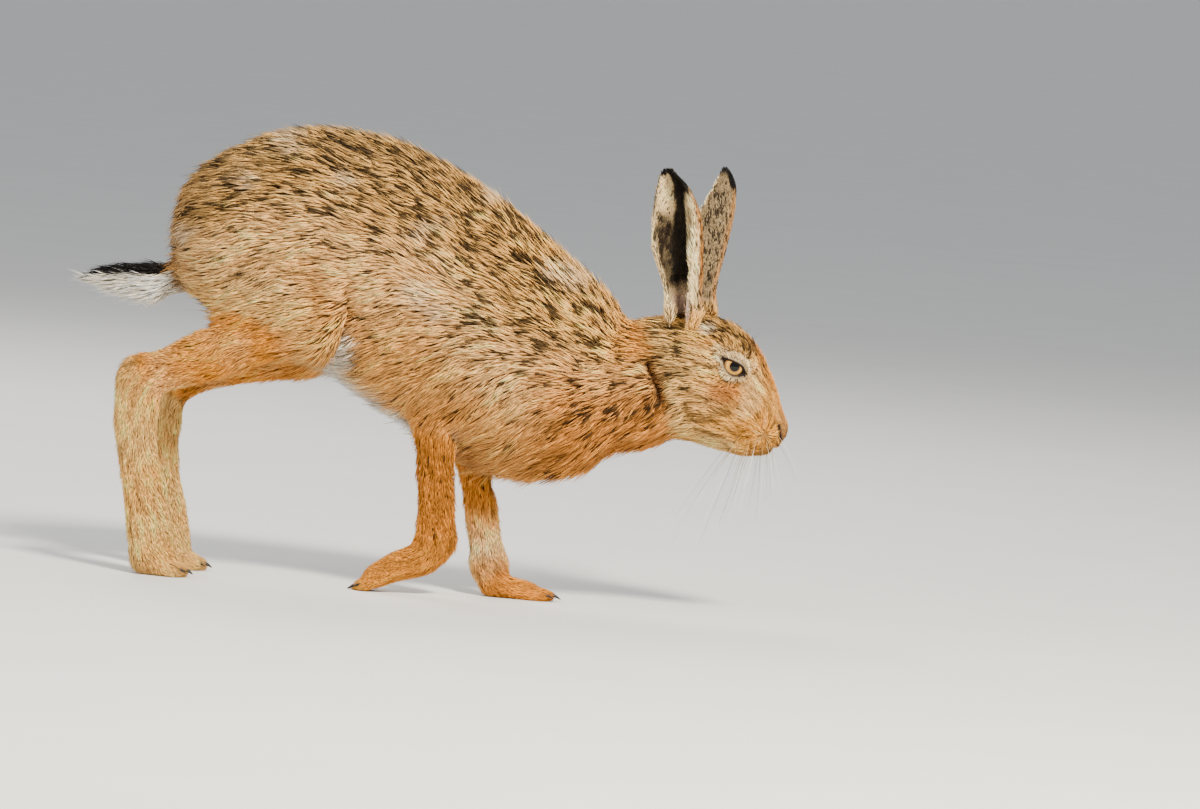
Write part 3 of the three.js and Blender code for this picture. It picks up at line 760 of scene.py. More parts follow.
def shape_lids(points):
    """Opens the almond slit over the eyeball and gives the lids their thickness and rims."""
    p, side = mirrored(points)
    q = p - EYE
    far = far_from(p, EYE)
    gap = slit_distance(points)
    rim = 0.8 * hump(gap, 1.5, 1.2) - 0.7 * hump(gap, 4.4, 1.3)
    lid = LID_RADIUS + rim
    sunk = EYE_RADIUS - EYE_CLEARANCE
    wanted = sunk + (lid - sunk) * step(gap, -0.9, -0.1)
    near = (q @ GAZE > 1.0) & (far < 16)
    hold = near * np.where(gap < LID_EDGE, 1.0, 1 - step(far, 12.2, 15.5))
    place = np.where(gap < LID_EDGE, wanted, np.maximum(wanted, np.minimum(far, 14.0)))
    moved = EYE + unit(q) * place[:, None]
    p = p + (moved - p) * hold[:, None]
    p[:, 1] *= side
    return p


FLOOR_GAP = 0.3
SINK_ROUNDS = 4  # the skin is sunk by the coat's depth in so many steps, relaxed after each


def make_skin():
    balls = [(EYE * [1, s, 1], LID_RADIUS + 0.6) for s in (1, -1)]
    skin = remeshed("skin", FLESH, SKIN_VOXEL, balls=balls)
    keep_largest(skin)
    points, edges, triangles = read_mesh(skin.data)
    _, _, shares = coat_at(points)
    small = np.clip(shares["head"] + group(shares, "toes", "paw"), 0, 1)
    points = relaxed(points, edges, 10, 0.55 - 0.35 * small)
    _, sizes, _ = coat_at(points)
    for _ in range(SINK_ROUNDS):
        points = points - normals_of(points, triangles) * sizes[:, :1] * (1 / SINK_ROUNDS)
        points = relaxed(points, edges, 1, 0.4)
    write_points(skin.data, fold_body(points, normals_of(points, triangles)))
    refined(skin, near_face)
    refined(skin, very_near_face)
    points, edges, triangles = read_mesh(skin.data)
    near_eye = far_from(mirrored(points)[0], EYE) < 17
    points = relaxed(points, edges, 4, 0.4 * near_face(points))
    points = shape_lids(carve_face(points, normals_of(points, triangles)))
    points = relaxed(points, edges, 2, np.where(near_eye, 0.12, 0.0))
    points[:, 2] = np.maximum(points[:, 2], FLOOR_GAP)
    write_points(skin.data, points)
    return skin


def unwrapped(obj):
    """A map of the object's own shape, as one pair of numbers for each triangle's corner."""
    bpy.context.view_layer.objects.active = obj
    for other in bpy.context.selected_objects:
        other.select_set(False)
    obj.select_set(True)
    mesh = obj.data
    mesh.uv_layers.new(name="OFBake")
    bpy.ops.object.mode_set(mode="EDIT")
    bpy.ops.mesh.select_all(action="SELECT")
    bpy.ops.uv.smart_project(angle_limit=math.radians(66), island_margin=0.001)
    bpy.ops.object.mode_set(mode="OBJECT")
    obj.select_set(False)
    uv = values_of(mesh.uv_layers["OFBake"].data, "uv", 2, np.float32)
    mesh.calc_loop_triangles()
    corners = values_of(mesh.loop_triangles, "loops", 3, np.int32)
    mesh.uv_layers.remove(mesh.uv_layers["OFBake"])
    return uv[corners]


# The coat.
PATCH = 0.0015  # half the side of a tuft's patch on the map
PATCH_SHAPE = [[-1, -1], [1, -1], [0, -0.6], [-1, 0.2], [1, 0.2], [0, 0.4], [0, 1]]
TUFTS_A_PIECE = 19500
ROOT_DEPTH = 0.7
LOWEST_FUR = 0.05
# Where along a blade it bends and ends, the height of the bend, and the blade's own thickness.
BEND_AT, BEND_HEIGHT, HIGHEST_BEND, TIP_AT, THICKNESS, ROOT_WIDTH = 0.42, 0.72, 1.15, 0.98, 0.34, 0.8
BODY_COVER = 3.8  # layers of tufts over one another
GUARD_SHARE = 0.035  # of the tufts are single long guard hairs that stand out
WHORL = np.array([234.5, 16, 136.4])  # the fur of the whisker pad spreads from here
EAR_ROOT = np.array([174, 15, 206])
MIDDLE_TINT = np.array([1.0, 0.93, 0.8])


def scattered(points, triangles, uv, density):
    """Random places on the surface, with so many to the square millimetre at each triangle."""
    a, b, c = corners_of(points, triangles)
    area = np.linalg.norm(np.cross(b - a, c - a), axis=1) / 2
    reach = np.cumsum(area * density)
    count = int(reach[-1])
    picks = np.searchsorted(reach, (np.arange(count) + rng.random(count)) * reach[-1] / count)
    picks = np.minimum(picks, len(triangles) - 1)
    u, v = rng.random(count), rng.random(count)
    over = u + v > 1
    u[over] = 1 - u[over]
    v[over] = 1 - v[over]
    share = np.stack([1 - u - v, u, v], 1)[:, :, None]
    at = (points[triangles[picks]] * share).sum(1)
    normal = unit((normals_of(points, triangles)[triangles[picks]] * share).sum(1))
    return at, normal, (uv[picks] * share).sum(1)


def tuft_mesh(name, t, material):
    """Joined tufts, each a closed three-sided blade that bends once and ends in a point."""
    roots, normal, lie = t["root"], t["normal"], t["lie"]
    side = unit(np.cross(normal, lie))
    length, width, depth = t["length"][:, None], t["width"][:, None], t["depth"][:, None]
    lift = t["lift"][:, None]
    start = roots - normal * ROOT_DEPTH
    rise = normal * depth * BEND_HEIGHT * np.minimum(lift, HIGHEST_BEND)
    middle = roots + lie * length * BEND_AT + rise
    tip = roots + lie * length * TIP_AT + normal * depth * lift + side * t["sway"][:, None]
    across, up = side * width / 2, normal * width * THICKNESS
    rings = [start - across * ROOT_WIDTH, start + across * ROOT_WIDTH, start + up]
    rings += [middle - across, middle + across, middle + up, tip]
    points = np.stack(rings, 1).reshape(-1, 3)
    one = [[0, 2, 1]]
    for a, b in ((0, 1), (1, 2), (2, 0)):
        one += [[a, b, b + 3], [a, b + 3, a + 3], [a + 3, b + 3, 6]]
    faces = (np.arange(len(roots))[:, None, None] * 7 + np.array(one)).reshape(-1, 3)
    points[:, 2] = np.maximum(points[:, 2], LOWEST_FUR)
    obj = mesh_object(name, points, faces)
    shades = [t["dark"]] * 3 + [t["middle"]] * 3 + [t["tip"]]
    paint(obj, np.stack(shades, 1).reshape(-1, 3))
    at = (t["uv"][:, None, :] + np.array(PATCH_SHAPE) * PATCH).reshape(-1, 2)
    layer = obj.data.uv_layers.new(name="OFBake")
    layer.data.foreach_set("uv", at[faces.ravel()].astype(np.float32).ravel())
    obj.data.materials.append(material)
    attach(obj, "root")
    return obj


def in_pieces(name, t, material):
    """Makes the tufts as a few objects, each small enough, split from tail to nose."""
    count = len(t["root"])
    pieces = math.ceil(count / TUFTS_A_PIECE)
    order = np.argsort(t["root"][:, 0])
    for i, chosen in enumerate(np.array_split(order, pieces)):
        label = name if pieces == 1 else f"{name}_{i + 1}"
        tuft_mesh(label, {k: v[chosen] for k, v in t.items()}, material)


def shaded(t, base, black, lock, strand, fine):
    """Adds the colours of each tuft's root, middle and tip, from its ground colour and ticking. The
    middle and the gaps between locks are darkened as painted shade, and the tips lightened, partly as
    painted light.

    Fine is 1 where the ticks are as small as on the head, and 0 elsewhere.
    """
    own = rng.standard_normal(len(base))
    large_ticks = rank(streaks(t["root"], t["lie"], 2.2, 5.5, 61) + 0.12 * own)
    small_ticks = rank(streaks(t["root"], t["lie"], 1.3, 4.0, 62) + 0.12 * own)
    ticked = (np.where(fine > 0.5, small_ticks, large_ticks) < black)[:, None]
    # Lighter on each lock's ridge and darker in the gaps between locks: partly the locks' own tone,
    # partly painted shade in the gaps.
    value = np.clip(1.07 + 0.46 * lock + 0.25 * strand + 0.09 * own, 0.22, 1.9)[:, None]
    ground = np.clip(base * value, 0, 1)
    # Tips paler than the ground: partly the hairs' own paler tips, partly painted light, most on the
    # ridges of locks.
    pale_lit_tip = ground * (1.25 + 0.15 * (lock > 0.3))[:, None]
    t["dark"] = mix(ground * 0.4, UNDERCOAT_AND_SHADE * 0.55, 0.45)
    # A plain tuft's middle is painted darker and warmer than its ground, as painted shade within the
    # coat.
    t["middle"] = np.where(ticked, mix(ground, TICK_AND_SHADE, 0.88), ground * MIDDLE_TINT * 0.84)
    t["tip"] = np.where(ticked, mix(ground, TICK_AND_SHADE, 0.97), np.clip(pale_lit_tip, 0, 1))
    return t


def face_lie(root, lie):
    """The lie with the face's own ways: out from the eye, and round from the whisker pad."""
    p, side = mirrored(root)
    flat = np.array([1, 0.2, 1])
    outward = np.stack([np.ones_like(side), side, np.ones_like(side)], 1)
    beside = (1 - step(far_from(p, EYE), 12, 22)) * (p[:, 1] > 5)
    lie = unit(lie) + unit((p - EYE) * flat * outward) * 1.5 * beside[:, None]
    from_whorl = (p - WHORL) * flat
    far = np.linalg.norm(from_whorl, axis=1)
    near = (1 - step(far, 8, 20)) * (p[:, 1] > 3)
    lie = lie + unit(from_whorl * outward) * 1.3 * (near * step(far, 1.5, 6.0))[:, None]
    return lie, beside, near


def body_density(points, triangles):
    """Tufts to the square millimetre, with the slits of the eyes, nostrils and soles left bare."""
    centres = points[triangles].mean(1)
    _, sizes, _ = coat_at(centres)
    density = BODY_COVER / (0.55 * sizes[:, 1] * sizes[:, 2])
    density = density * step(slit_distance(centres), 1.1, 2.0)
    before_nostril = line_share(centres - [1.2, 0, 0], NOSTRIL_ROUTE, 2.6, 0.4)
    bare = before_nostril * step(np.abs(centres[:, 1]), 2.6, 4.0)
    return density * (1 - bare) * step(centres[:, 2], 0.4, 1.2)


def body_lie(root, normal, lie, head):
    """The lie with its wandering, and with the hair that hangs over each knee."""
    body = 1 - 0.6 * head
    lie = lie + (0.3 * wander(root, 17, 11) + 0.16 * wander(root, 6.5, 14)) * body[:, None]
    right_knee = spot(root, [-68, 34, 194], [16, 30, 24]) * (root[:, 1] < 0)
    left_knee = spot(root, [-54, 34, 180], [16, 30, 24]) * (root[:, 1] > 0)
    return laid_flat(lie + np.outer(np.maximum(right_knee, left_knee), [0, 0, -0.4]), normal)


def trimmed(root, beside_eye):
    """How much of its length the fur keeps beside the eye, on the nose, by the ears and the neck."""
    by_ear = 1 - step(far_from(mirrored(root)[0], EAR_ROOT), 14, 27)
    by_crease = line_share(root - [6, 0, 0], NECK_CREASE, 5.5, 0.5) * step(np.abs(root[:, 1]), 17, 22)
    kept = (1 - 0.5 * beside_eye) * (1 - 0.55 * step(root[:, 0], 243, 249))
    return kept * (1 + 0.3 * by_ear) * (1 - 0.55 * by_crease)


def body_coat(points, triangles, uv, material):
    root, normal, at = scattered(points, triangles, uv, body_density(points, triangles))
    count = len(root)
    lie, sizes, shares = coat_at(root)
    depth, long, wide = sizes.T
    head = step(shares["head"], 0.35, 0.65)
    lie, beside_eye, near_whorl = face_lie(root, lie)
    lie = body_lie(root, normal, lie, head)
    aside = np.cross(normal, lie) * 1.1
    scale = np.clip(long / 14, 0.45, 1.15)
    pull = lock_at(root + aside, lie, scale) - lock_at(root - aside, lie, scale)
    crown = spot(root, [188, 12, 208], [34, 34, 15]) + spot(root, [168, 26, 178], [28, 34, 38])
    lock = np.clip(lock_at(root, lie, scale) * (1 + 1.0 * crown + 0.5 * head), -1.8, 1.6)
    strand = streaks(root, lie, 1.5, 8, 33)
    longest = step(long, 9, 14)
    guard = rng.random(count) < GUARD_SHARE * longest
    kept = trimmed(root, beside_eye)
    length = long * kept * (0.8 + 0.35 * rng.random(count)) * np.where(guard, 1.25, 1)
    lie = unit(lie + 0.09 * rng.standard_normal(lie.shape))
    fringe = step(-normal[:, 2], 0.2, 0.7) * longest
    t = {
        "root": root,
        "normal": normal,
        "lie": lie,
        "length": length * (1 + 0.4 * fringe),
        "width": wide * (0.75 + 0.5 * rng.random(count)) * np.where(guard, 0.4, 1),
        "depth": depth * kept,
        "lift": 0.72 + 0.25 * rng.random(count) + 0.26 * np.clip(lock, -1, 1) + 0.6 * guard,
        "sway": 2.4 * scale * np.clip(pull, -1, 1),
        "uv": at,
    }
    base, black = markings(root, normal, shares)
    pad = streaks(root, lie, 1.3, 7, 35)
    base = mix(base, TICK_AND_SHADE, 0.6 * near_whorl * (pad > 0.35))
    base = mix(base, CREAM, 0.2 * near_whorl * (pad < -0.35))
    in_pieces("coat", shaded(t, base, black, lock, strand, head), material)


def lock_at(points, lie, scale):
    """How near a place is to a lock's ridge, 1, or to the gap between two, -1."""
    large = streaks(points, lie, 5.2, 16, 31)
    small = streaks(points, lie, 2.6, 9, 32)
    return np.where(scale > 0.75, 0.65 * large + 0.45 * small, 0.25 * large + 0.75 * small)


# The ears.
EAR_FACING = {"right": np.array([-0.5, -0.866, 0]), "left": np.array([-0.87, 0.5, 0])}
EAR_LEVELS = 28
EAR_TUCK = 5.0  # how far the foot of each ear is pressed into the fur of the crown
EAR_TUCK_HEIGHT = 20.0
EAR_DENSITY = 0.9  # tufts to the square millimetre


def ear_extents(points):
    """The rear and front ends of the ear, by height, and the heights themselves."""
    low, high = points[:, 2].min(), points[:, 2].max()
    levels = np.linspace(low, high, EAR_LEVELS)
    reach = 0.9 * (levels[1] - levels[0])
    near = [points[np.abs(points[:, 2] - level) < reach][:, 0] for level in levels]
    return levels, np.array([x.min() for x in near]), np.array([x.max() for x in near])


def band(value, low, high, soft):
    """1 between low and high, falling to 0 just outside them."""
    return step(value, low - soft, low + soft) * (1 - step(value, high - soft, high + soft))


def ear_markings(points, normals, side, extents):
    """Colour, how far a place faces into the cup, its share of the height, its place across,
    from -1 at the rear rim to 1 at the front one, and how bare it is."""
    levels, rear, front = extents
    z = points[:, 2]
    share = np.clip((z - levels[0]) / (levels[-1] - levels[0]), 0, 1)
    back_end = np.interp(z, levels, rear)
    front_end = np.interp(z, levels, front)
    place = 2 * (points[:, 0] - back_end) / np.maximum(front_end - back_end, 1) - 1
    inner = step(normals @ EAR_FACING[side], -0.05, 0.25)
    grain = noise(points * [1, 1, 0.5], 5, 31)
    fine = noise(points * [1, 1, 0.6], 2.2, 32)
    wavy = place + 0.07 * grain + 0.05 * fine
    back = layered(
        EAR_BACK,
        (EAR_DARK, np.clip(0.3 + 0.3 * fine + 0.15 * grain, 0, 1)),
        (TAWNY, 0.35 * step(place, 0.6, 0.9) * (1 - step(share, 0.8, 0.95))),
        (CREAM, 0.8 * step(-place, 0.7, 0.88) * (1 - step(share, 0.5, 0.6))),
        (BLACK, step(share + 0.04 * grain + 0.1 * step(place, 0.2, 0.8), 0.95, 0.985)),
    )
    dark_low = band(wavy, -0.86, -0.16, 0.07) * band(share + 0.03 * grain, 0.25, 0.72, 0.06)
    # Painted shadow: a black band down the middle of the cup, in the fold of the ear.
    left_edge = np.interp(share, [0.3, 0.55, 0.8, 0.95], [-0.3, -0.24, -0.1, -0.2])
    right_edge = np.interp(share, [0.3, 0.55, 0.8, 0.95], [0.36, 0.42, 0.5, 0.9])
    fold_shadow = step(wavy - left_edge, -0.08, 0.08) * (1 - step(wavy - right_edge, -0.08, 0.08))
    bare = (1 - step(share, 0.2, 0.32)) * band(wavy, -0.55, 0.35, 0.15)
    cup = layered(
        CREAM,
        (EAR_DARK * 0.7, dark_low * np.clip(0.96 + 0.15 * fine, 0, 1)),
        (BLACK, 0.98 * fold_shadow * step(share, 0.24, 0.34)),
        (EAR_SKIN * 0.8, 0.85 * bare),
        (TICK_AND_SHADE, 0.75 * (1 - step(share, 0.14, 0.24)) * band(wavy, 0.3, 0.6, 0.12)),
        (BLACK, step(share, 0.93, 0.965) * step(np.abs(place + 0.25), 0.1, 0.3)),
        (BLACK, 0.85 * step(share, 0.62, 0.78) * (1 - step(place, -0.97, -0.86))),
        (BLACK, 0.9 * step(share, 0.76, 0.88) * step(place, 0.0, 0.35)),
    )
    outer_edge = band(share, 0.3, 0.9, 0.05) * step(place, 0.8, 0.93) * (side == "right")
    furred = 1 - bare * inner * step(share, 0.08, 0.13)
    colours = layered(
        back,
        (cup, inner),
        (mix(TAWNY, TICK_AND_SHADE, 0.45 + 0.4 * fine), 0.8 * outer_edge),
        (BLACK, step(share, 0.965, 0.985)),
        (mix(FACE, PALE, 0.7 * step(-place, 0.2, 0.6)), (1 - step(share, 0.09, 0.2)) * furred),
    )
    return np.clip(colours * (1 + 0.12 * fine[:, None]), 0, 1), inner, share, place, bare * inner


def ear_shape(side):
    """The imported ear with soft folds, its foot pressed into the fur of the crown."""
    ear = remeshed(f"ear_skin_{side}", [f"ear_{side}"], EAR_VOXEL, grow=0)
    keep_largest(ear)
    points, edges, triangles = read_mesh(ear.data)
    points = relaxed(points, edges, 6, 0.45)
    folds = 0.35 * noise(points * [1, 1, 0.35], 6, 41)
    points = points + normals_of(points, triangles) * (folds - 0.15)[:, None]
    tuck = 1 - step(points[:, 2] - points[:, 2].min(), 2, EAR_TUCK_HEIGHT)
    points[:, 1] -= EAR_TUCK * tuck * np.sign(EAR_FACING[side][1])
    write_points(ear.data, points)
    return ear, points, triangles


def make_ear(side, skin_material, coat_material):
    ear, points, triangles = ear_shape(side)
    extents = ear_extents(points)
    base = ear_markings(points, normals_of(points, triangles), side, extents)[0]
    paint(ear, base * 0.85)
    uv = unwrapped(ear)
    ear.data.materials.append(skin_material)
    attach(ear, "root")
    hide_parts(f"ear_{side}")

    a, b, c = corners_of(points, triangles)
    facing_out = unit(np.cross(b - a, c - a))
    bare = ear_markings((a + b + c) / 3, facing_out, side, extents)[4]
    root, normal, at = scattered(points, triangles, uv, EAR_DENSITY * (1 - 0.75 * bare))
    base, inner, share, place, bare = ear_markings(root, normal, side, extents)
    count = len(root)
    low = 1 - step(share, 0.08, 0.26)
    fringe = inner * step(place, 0.35, 0.6) * band(share, 0.16, 0.84, 0.06)
    rear_rim = step(-place, 0.78, 0.95) * step(share, 0.1, 0.2)
    cup = inner * (1 - fringe) * band(place, -0.9, 0.3, 0.1)
    lie = np.outer(fringe, [-0.75, -0.2, 0.1]) + np.outer(rear_rim, [-0.35, 0, 0]) + [0, 0, 1]
    lie = lie + np.outer(cup, [0.2, 0, 0]) + 0.13 * rng.standard_normal((count, 3))
    lie = laid_flat(lie, normal)
    lock = lock_at(root, lie, np.full(count, 0.5))
    length = 3.6 + 4.2 * fringe + 5.0 * low * (1 - bare) + 1.0 * rng.random(count)
    t = {
        "root": root,
        "normal": normal,
        "lie": lie,
        "length": length * (1 - 0.4 * step(share, 0.85, 1.0)) * (1 - 0.4 * bare),
        "width": 0.55 + 0.3 * rng.random(count) + 0.2 * low,
        "depth": 0.75 + 1.3 * fringe + 1.8 * low * (1 - bare),
        "lift": 0.7 + 0.4 * rng.random(count) + 0.2 * lock,
        "sway": 0.4 * rng.standard_normal(count),
        "uv": at,
    }
    speckle = (0.3 * (1 - inner) + 0.05) * (1 - step(share, 0.85, 0.93))
    strand = streaks(root, lie, 1.1, 4, 44)
    t = shaded(t, base, speckle, lock * (0.4 + 0.5 * fringe), strand, np.ones(count))
    in_pieces(f"coat_ear_{side}", t, coat_material)


# The eyes. Rings run from the pupil's middle to the back of the ball, as angles in degrees.
PUPIL = 21.5
IRIS = 44.0
LIMBUS = 50.0
EYE_RINGS = np.concatenate([
    np.linspace(0.6, PUPIL, 12),
    np.linspace(PUPIL + 0.6, IRIS, 26),
    np.linspace(IRIS + 0.8, LIMBUS, 8),
    np.linspace(LIMBUS + 3, 178, 26),
])
EYE_SPOKES = 96
CORNEA_BULGE = 0.75
IRIS_INNER = colour("8a5f26")
IRIS_MIDDLE = colour("c9963f")
IRIS_OUTER = colour("7a4f1e")
LIMBUS_COLOUR = colour("1c120b")
PUPIL_COLOUR = colour("040303")
EYE_WHITE = colour("3a2416")


def eye_colours(ring, turn):
    """The colours round one ring: the pupil's, the rayed iris's, or the white's."""
    if ring <= PUPIL:
        return np.tile(PUPIL_COLOUR, (EYE_SPOKES, 1))
    if ring > LIMBUS:
        return np.tile(mix(LIMBUS_COLOUR, EYE_WHITE, 0.5), (EYE_SPOKES, 1))
    places = [np.cos(turn) * 3, np.sin(turn) * 3, np.full(EYE_SPOKES, ring / 30)]
    rays = noise(np.stack(places, 1), 0.22, 51)
    t = np.clip((ring - PUPIL) / (IRIS - PUPIL), 0, 1)
    return layered(
        IRIS_INNER,
        (IRIS_MIDDLE, step(t, 0, 0.4)),
        (IRIS_OUTER, np.clip(step(t, 0.5, 1.0) + 0.3 * rays, 0, 1)),
        (LIMBUS_COLOUR, step(ring, IRIS, IRIS + 4)),
    )


def make_eye(side, sign, material):
    gaze = GAZE * [1, sign, 1]
    first = unit(np.cross(gaze, [0, 0, 1]))
    second = np.cross(gaze, first)
    turn = np.linspace(0, 2 * math.pi, EYE_SPOKES, endpoint=False)
    spread = np.outer(np.cos(turn), first) + np.outer(np.sin(turn), second)
    points, faces = [], []
    for ring in EYE_RINGS:
        angle = math.radians(ring)
        bulge = CORNEA_BULGE * max(0.0, 1 - (ring / LIMBUS) ** 2) ** 0.8
        ball = EYE_RADIUS * (math.cos(angle) * gaze + math.sin(angle) * spread)
        points.append(EYE * [1, sign, 1] + ball + bulge * gaze)
    n = np.arange(EYE_SPOKES)
    for i in range(len(EYE_RINGS) - 1):
        a, b = i * EYE_SPOKES + n, i * EYE_SPOKES + (n + 1) % EYE_SPOKES
        faces.append(np.stack([a, b, b + EYE_SPOKES, a + EYE_SPOKES], 1))
    eye = mesh_object(f"eyeball_{side}", np.concatenate(points), np.concatenate(faces))
    paint(eye, np.concatenate([eye_colours(ring, turn) for ring in EYE_RINGS]))
    with edited(eye) as bm:
        bmesh.ops.holes_fill(bm, edges=[e for e in bm.edges if e.is_boundary])
        bmesh.ops.recalc_face_normals(bm, faces=bm.faces)
    eye.data.materials.append(material)
    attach(eye, "root")
    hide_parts(f"eye_{side}")


# Thin tapered rods: whiskers, brow hairs and claws.
def rod(route, radii, sides=5):
    """Points and faces of a rod along a route, closed at both ends."""
    route = np.asarray(route, float)
    along = unit(np.gradient(route, axis=0))
    first = unit(np.cross(along, [0.3, 0.2, 0.93]))
    second = np.cross(along, first)
    turn = np.linspace(0, 2 * math.pi, sides, endpoint=False)
    points = [
        centre + r * (np.outer(np.cos(turn), a) + np.outer(np.sin(turn), b))
        for centre, r, a, b in zip(route, radii, first, second)
    ]
    points = np.concatenate(points + [route[:1], route[-1:]])
    faces = []
    n = np.arange(sides)
    for i in range(len(route) - 1):
        a, b = i * sides + n, i * sides + (n + 1) % sides
        faces += [np.stack([a, b, b + sides], 1), np.stack([a, b + sides, a + sides], 1)]
    start, end = len(route) * sides, len(route) * sides + 1
    last = (len(route) - 1) * sides
    faces.append(np.stack([(n + 1) % sides, n, np.full(sides, start)], 1))
    faces.append(np.stack([last + n, last + (n + 1) % sides, np.full(sides, end)], 1))
    return points, np.concatenate(faces)


def joined_rods(name, rods, colours, material):
    points, faces, shades, offset = [], [], [], 0
    for (p, f), (root_shade, tip_shade) in zip(rods, colours):
        points.append(p)
        faces.append(f + offset)
        from_root = far_from(p, p[0])
        shades.append(mix(root_shade, tip_shade, step(from_root / from_root.max(), 0.15, 0.5)))
        offset += len(p)
    obj = mesh_object(name, np.concatenate(points), np.concatenate(faces))
    paint(obj, np.concatenate(shades))
    obj.data.materials.append(material)
    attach(obj, "root")


WHISKER_LIMIT = 62.0  # half the width that whiskers may spread over


def whiskers(side, sign, material):
    """Long pale whiskers that spring from the pad and hang, with a few dark ones, and brow hairs."""
    rods, shades = [], []
    sag = np.array([-0.12, -0.1 * sign, -0.4])
    t = np.linspace(0, 1, 11)[:, None]
    for row in range(4):
        for place in range(5):
            root = np.array([243 - 4.6 * place - row, (9.5 + 1.3 * place) * sign, 139 - 3.6 * row])
            reach = 30 + 8.5 * place + 9 * rng.random()
            out = np.array([0.34 - 0.17 * place, 0.36 * sign, -0.5 - 0.12 * row])
            out = unit(out + 0.12 * rng.standard_normal(3))
            route = root + reach * (out * t + sag * t * t * 0.75)
            route[:, 1] = np.clip(route[:, 1], -WHISKER_LIMIT, WHISKER_LIMIT)
            rods.append(rod(route, np.linspace(0.17, 0.03, 11)))
            dark = (row + place) % 3 == 1
            shades.append((TICK_AND_SHADE, TICK_AND_SHADE) if dark else (GOLD * 0.7, WHITE))
    t = np.linspace(0, 1, 7)[:, None]
    for place in range(4):
        root = np.array([222 - 7 * place, 12.5 * sign, 199 + 1.5 * place])
        way = np.array([0.4 - 0.1 * place, 0.3 * sign, 0.6]) * t + [0.1, 0, -0.25] * t * t
        rods.append(rod(root + (17 + 4 * place) * way, np.linspace(0.13, 0.03, 7)))
        shades.append((TICK_AND_SHADE, TICK_AND_SHADE))
    joined_rods(f"whiskers_{side}", rods, shades, material)


TOE_SPREAD = [-1, -0.36, 0.32, 1]
TOE_REACH = [0.78, 1, 0.97, 0.72]
FEET = {
    "hind_right": ([-188, -35, 9], [-168, -35, 4.2], 10, 3.6),
    "hind_left": ([-179, 35, 9], [-158, 35, 4.2], 10, 3.6),
    "fore_right": ([-22, -20, 12.5], [-41, -20, 2.6], 8.5, 2.8),
    "fore_left": ([70, 19, 6], [94, 19, 3.6], 8.5, 2.8),
}


CLAW_LENGTH = 9.0
CLAW_RADII = [1.3, 1.35, 1.25, 1.05, 0.8, 0.5, 0.12]
CLAW_LOWEST = 0.8  # how near the floor a claw's middle line comes


def claws(name, material):
    ball, tip, half_row, radius = FEET[name]
    ball, tip = np.array(ball, float), np.array(tip, float)
    way = unit(tip - ball)
    t = np.linspace(0, 1, len(CLAW_RADII))[:, None]
    rods = []
    for spread, reach in zip(TOE_SPREAD, TOE_REACH):
        end = ball + (tip - ball) * reach
        end[1] = ball[1] + spread * half_row * 1.05
        root = end + way * radius * 0.2 + np.array([0, 0, radius * 0.5])
        route = root + CLAW_LENGTH * (way * t * [1, 1, 0.2] + np.array([0, 0, -0.34]) * t * t)
        route[:, 2] = np.maximum(route[:, 2], CLAW_LOWEST)
        rods.append(rod(route, np.array(CLAW_RADII), sides=8))
    joined_rods(f"claws_{name}", rods, [(TICK_AND_SHADE * 2.0, TICK_AND_SHADE)] * len(rods), material)


# Materials.
# A look is its roughness, specular level and clear coat, the darkest and palest share of the painted
# colour under its grain, the grain's scale and stretch, and the height of its bumps in metres.
LOOKS = {
    "fur": (0.62, 0.14, 0, (0.78, 1.2), 1.0, (1500, 90, 1), 0),
    "skin": (0.75, 0.2, 0, (0.6, 1.1), 700, (1, 1, 0.45), 0.0006),
    "ear_skin": (0.6, 0.25, 0, (0.75, 1.1), 1100, (1, 1, 0.3), 0.0003),
    "eye": (0.08, 0.25, 0.12, (0.92, 1.06), 1600, (1, 1, 1), 0),
    "horn": (0.38, 0.5, 0, (0.7, 1.3), 500, (0.3, 1, 1), 0.00015),
    "whisker": (0.35, 0.5, 0, (0.9, 1.05), 300, (1, 1, 1), 0),
}
GRAIN_DETAIL = 4.0
GRAIN_RANGE = (0.3, 0.7)  # the noise between these goes from the darkest share to the palest


def filled(tree, node, inputs):
    """Gives each input its number, or links it to another node's output."""
    for name, value in inputs.items():
        if isinstance(value, bpy.types.NodeSocket):
            tree.links.new(value, node.inputs[name])
        else:
            node.inputs[name].default_value = value
    return node.outputs[0]


def new_material(name, roughness, specular, coat):
    material = bpy.data.materials.new(name)
    material.use_nodes = True
    tree = material.node_tree
    shader = tree.nodes["Principled BSDF"]
    surface = {"Roughness": roughness, "Specular IOR Level": specular, "Coat Weight": coat}
    filled(tree, shader, surface)
    return material, tree, shader


def grain_of(tree, place, scale, detail, stretch):
    """A noise over the place that a node gives, stretched along the axes."""
    mapping = filled(tree, tree.nodes.new("ShaderNodeMapping"), {"Vector": place, "Scale": stretch})
    noise_inputs = {"Vector": mapping, "Scale": scale, "Detail": detail}
    return filled(tree, tree.nodes.new("ShaderNodeTexNoise"), noise_inputs)


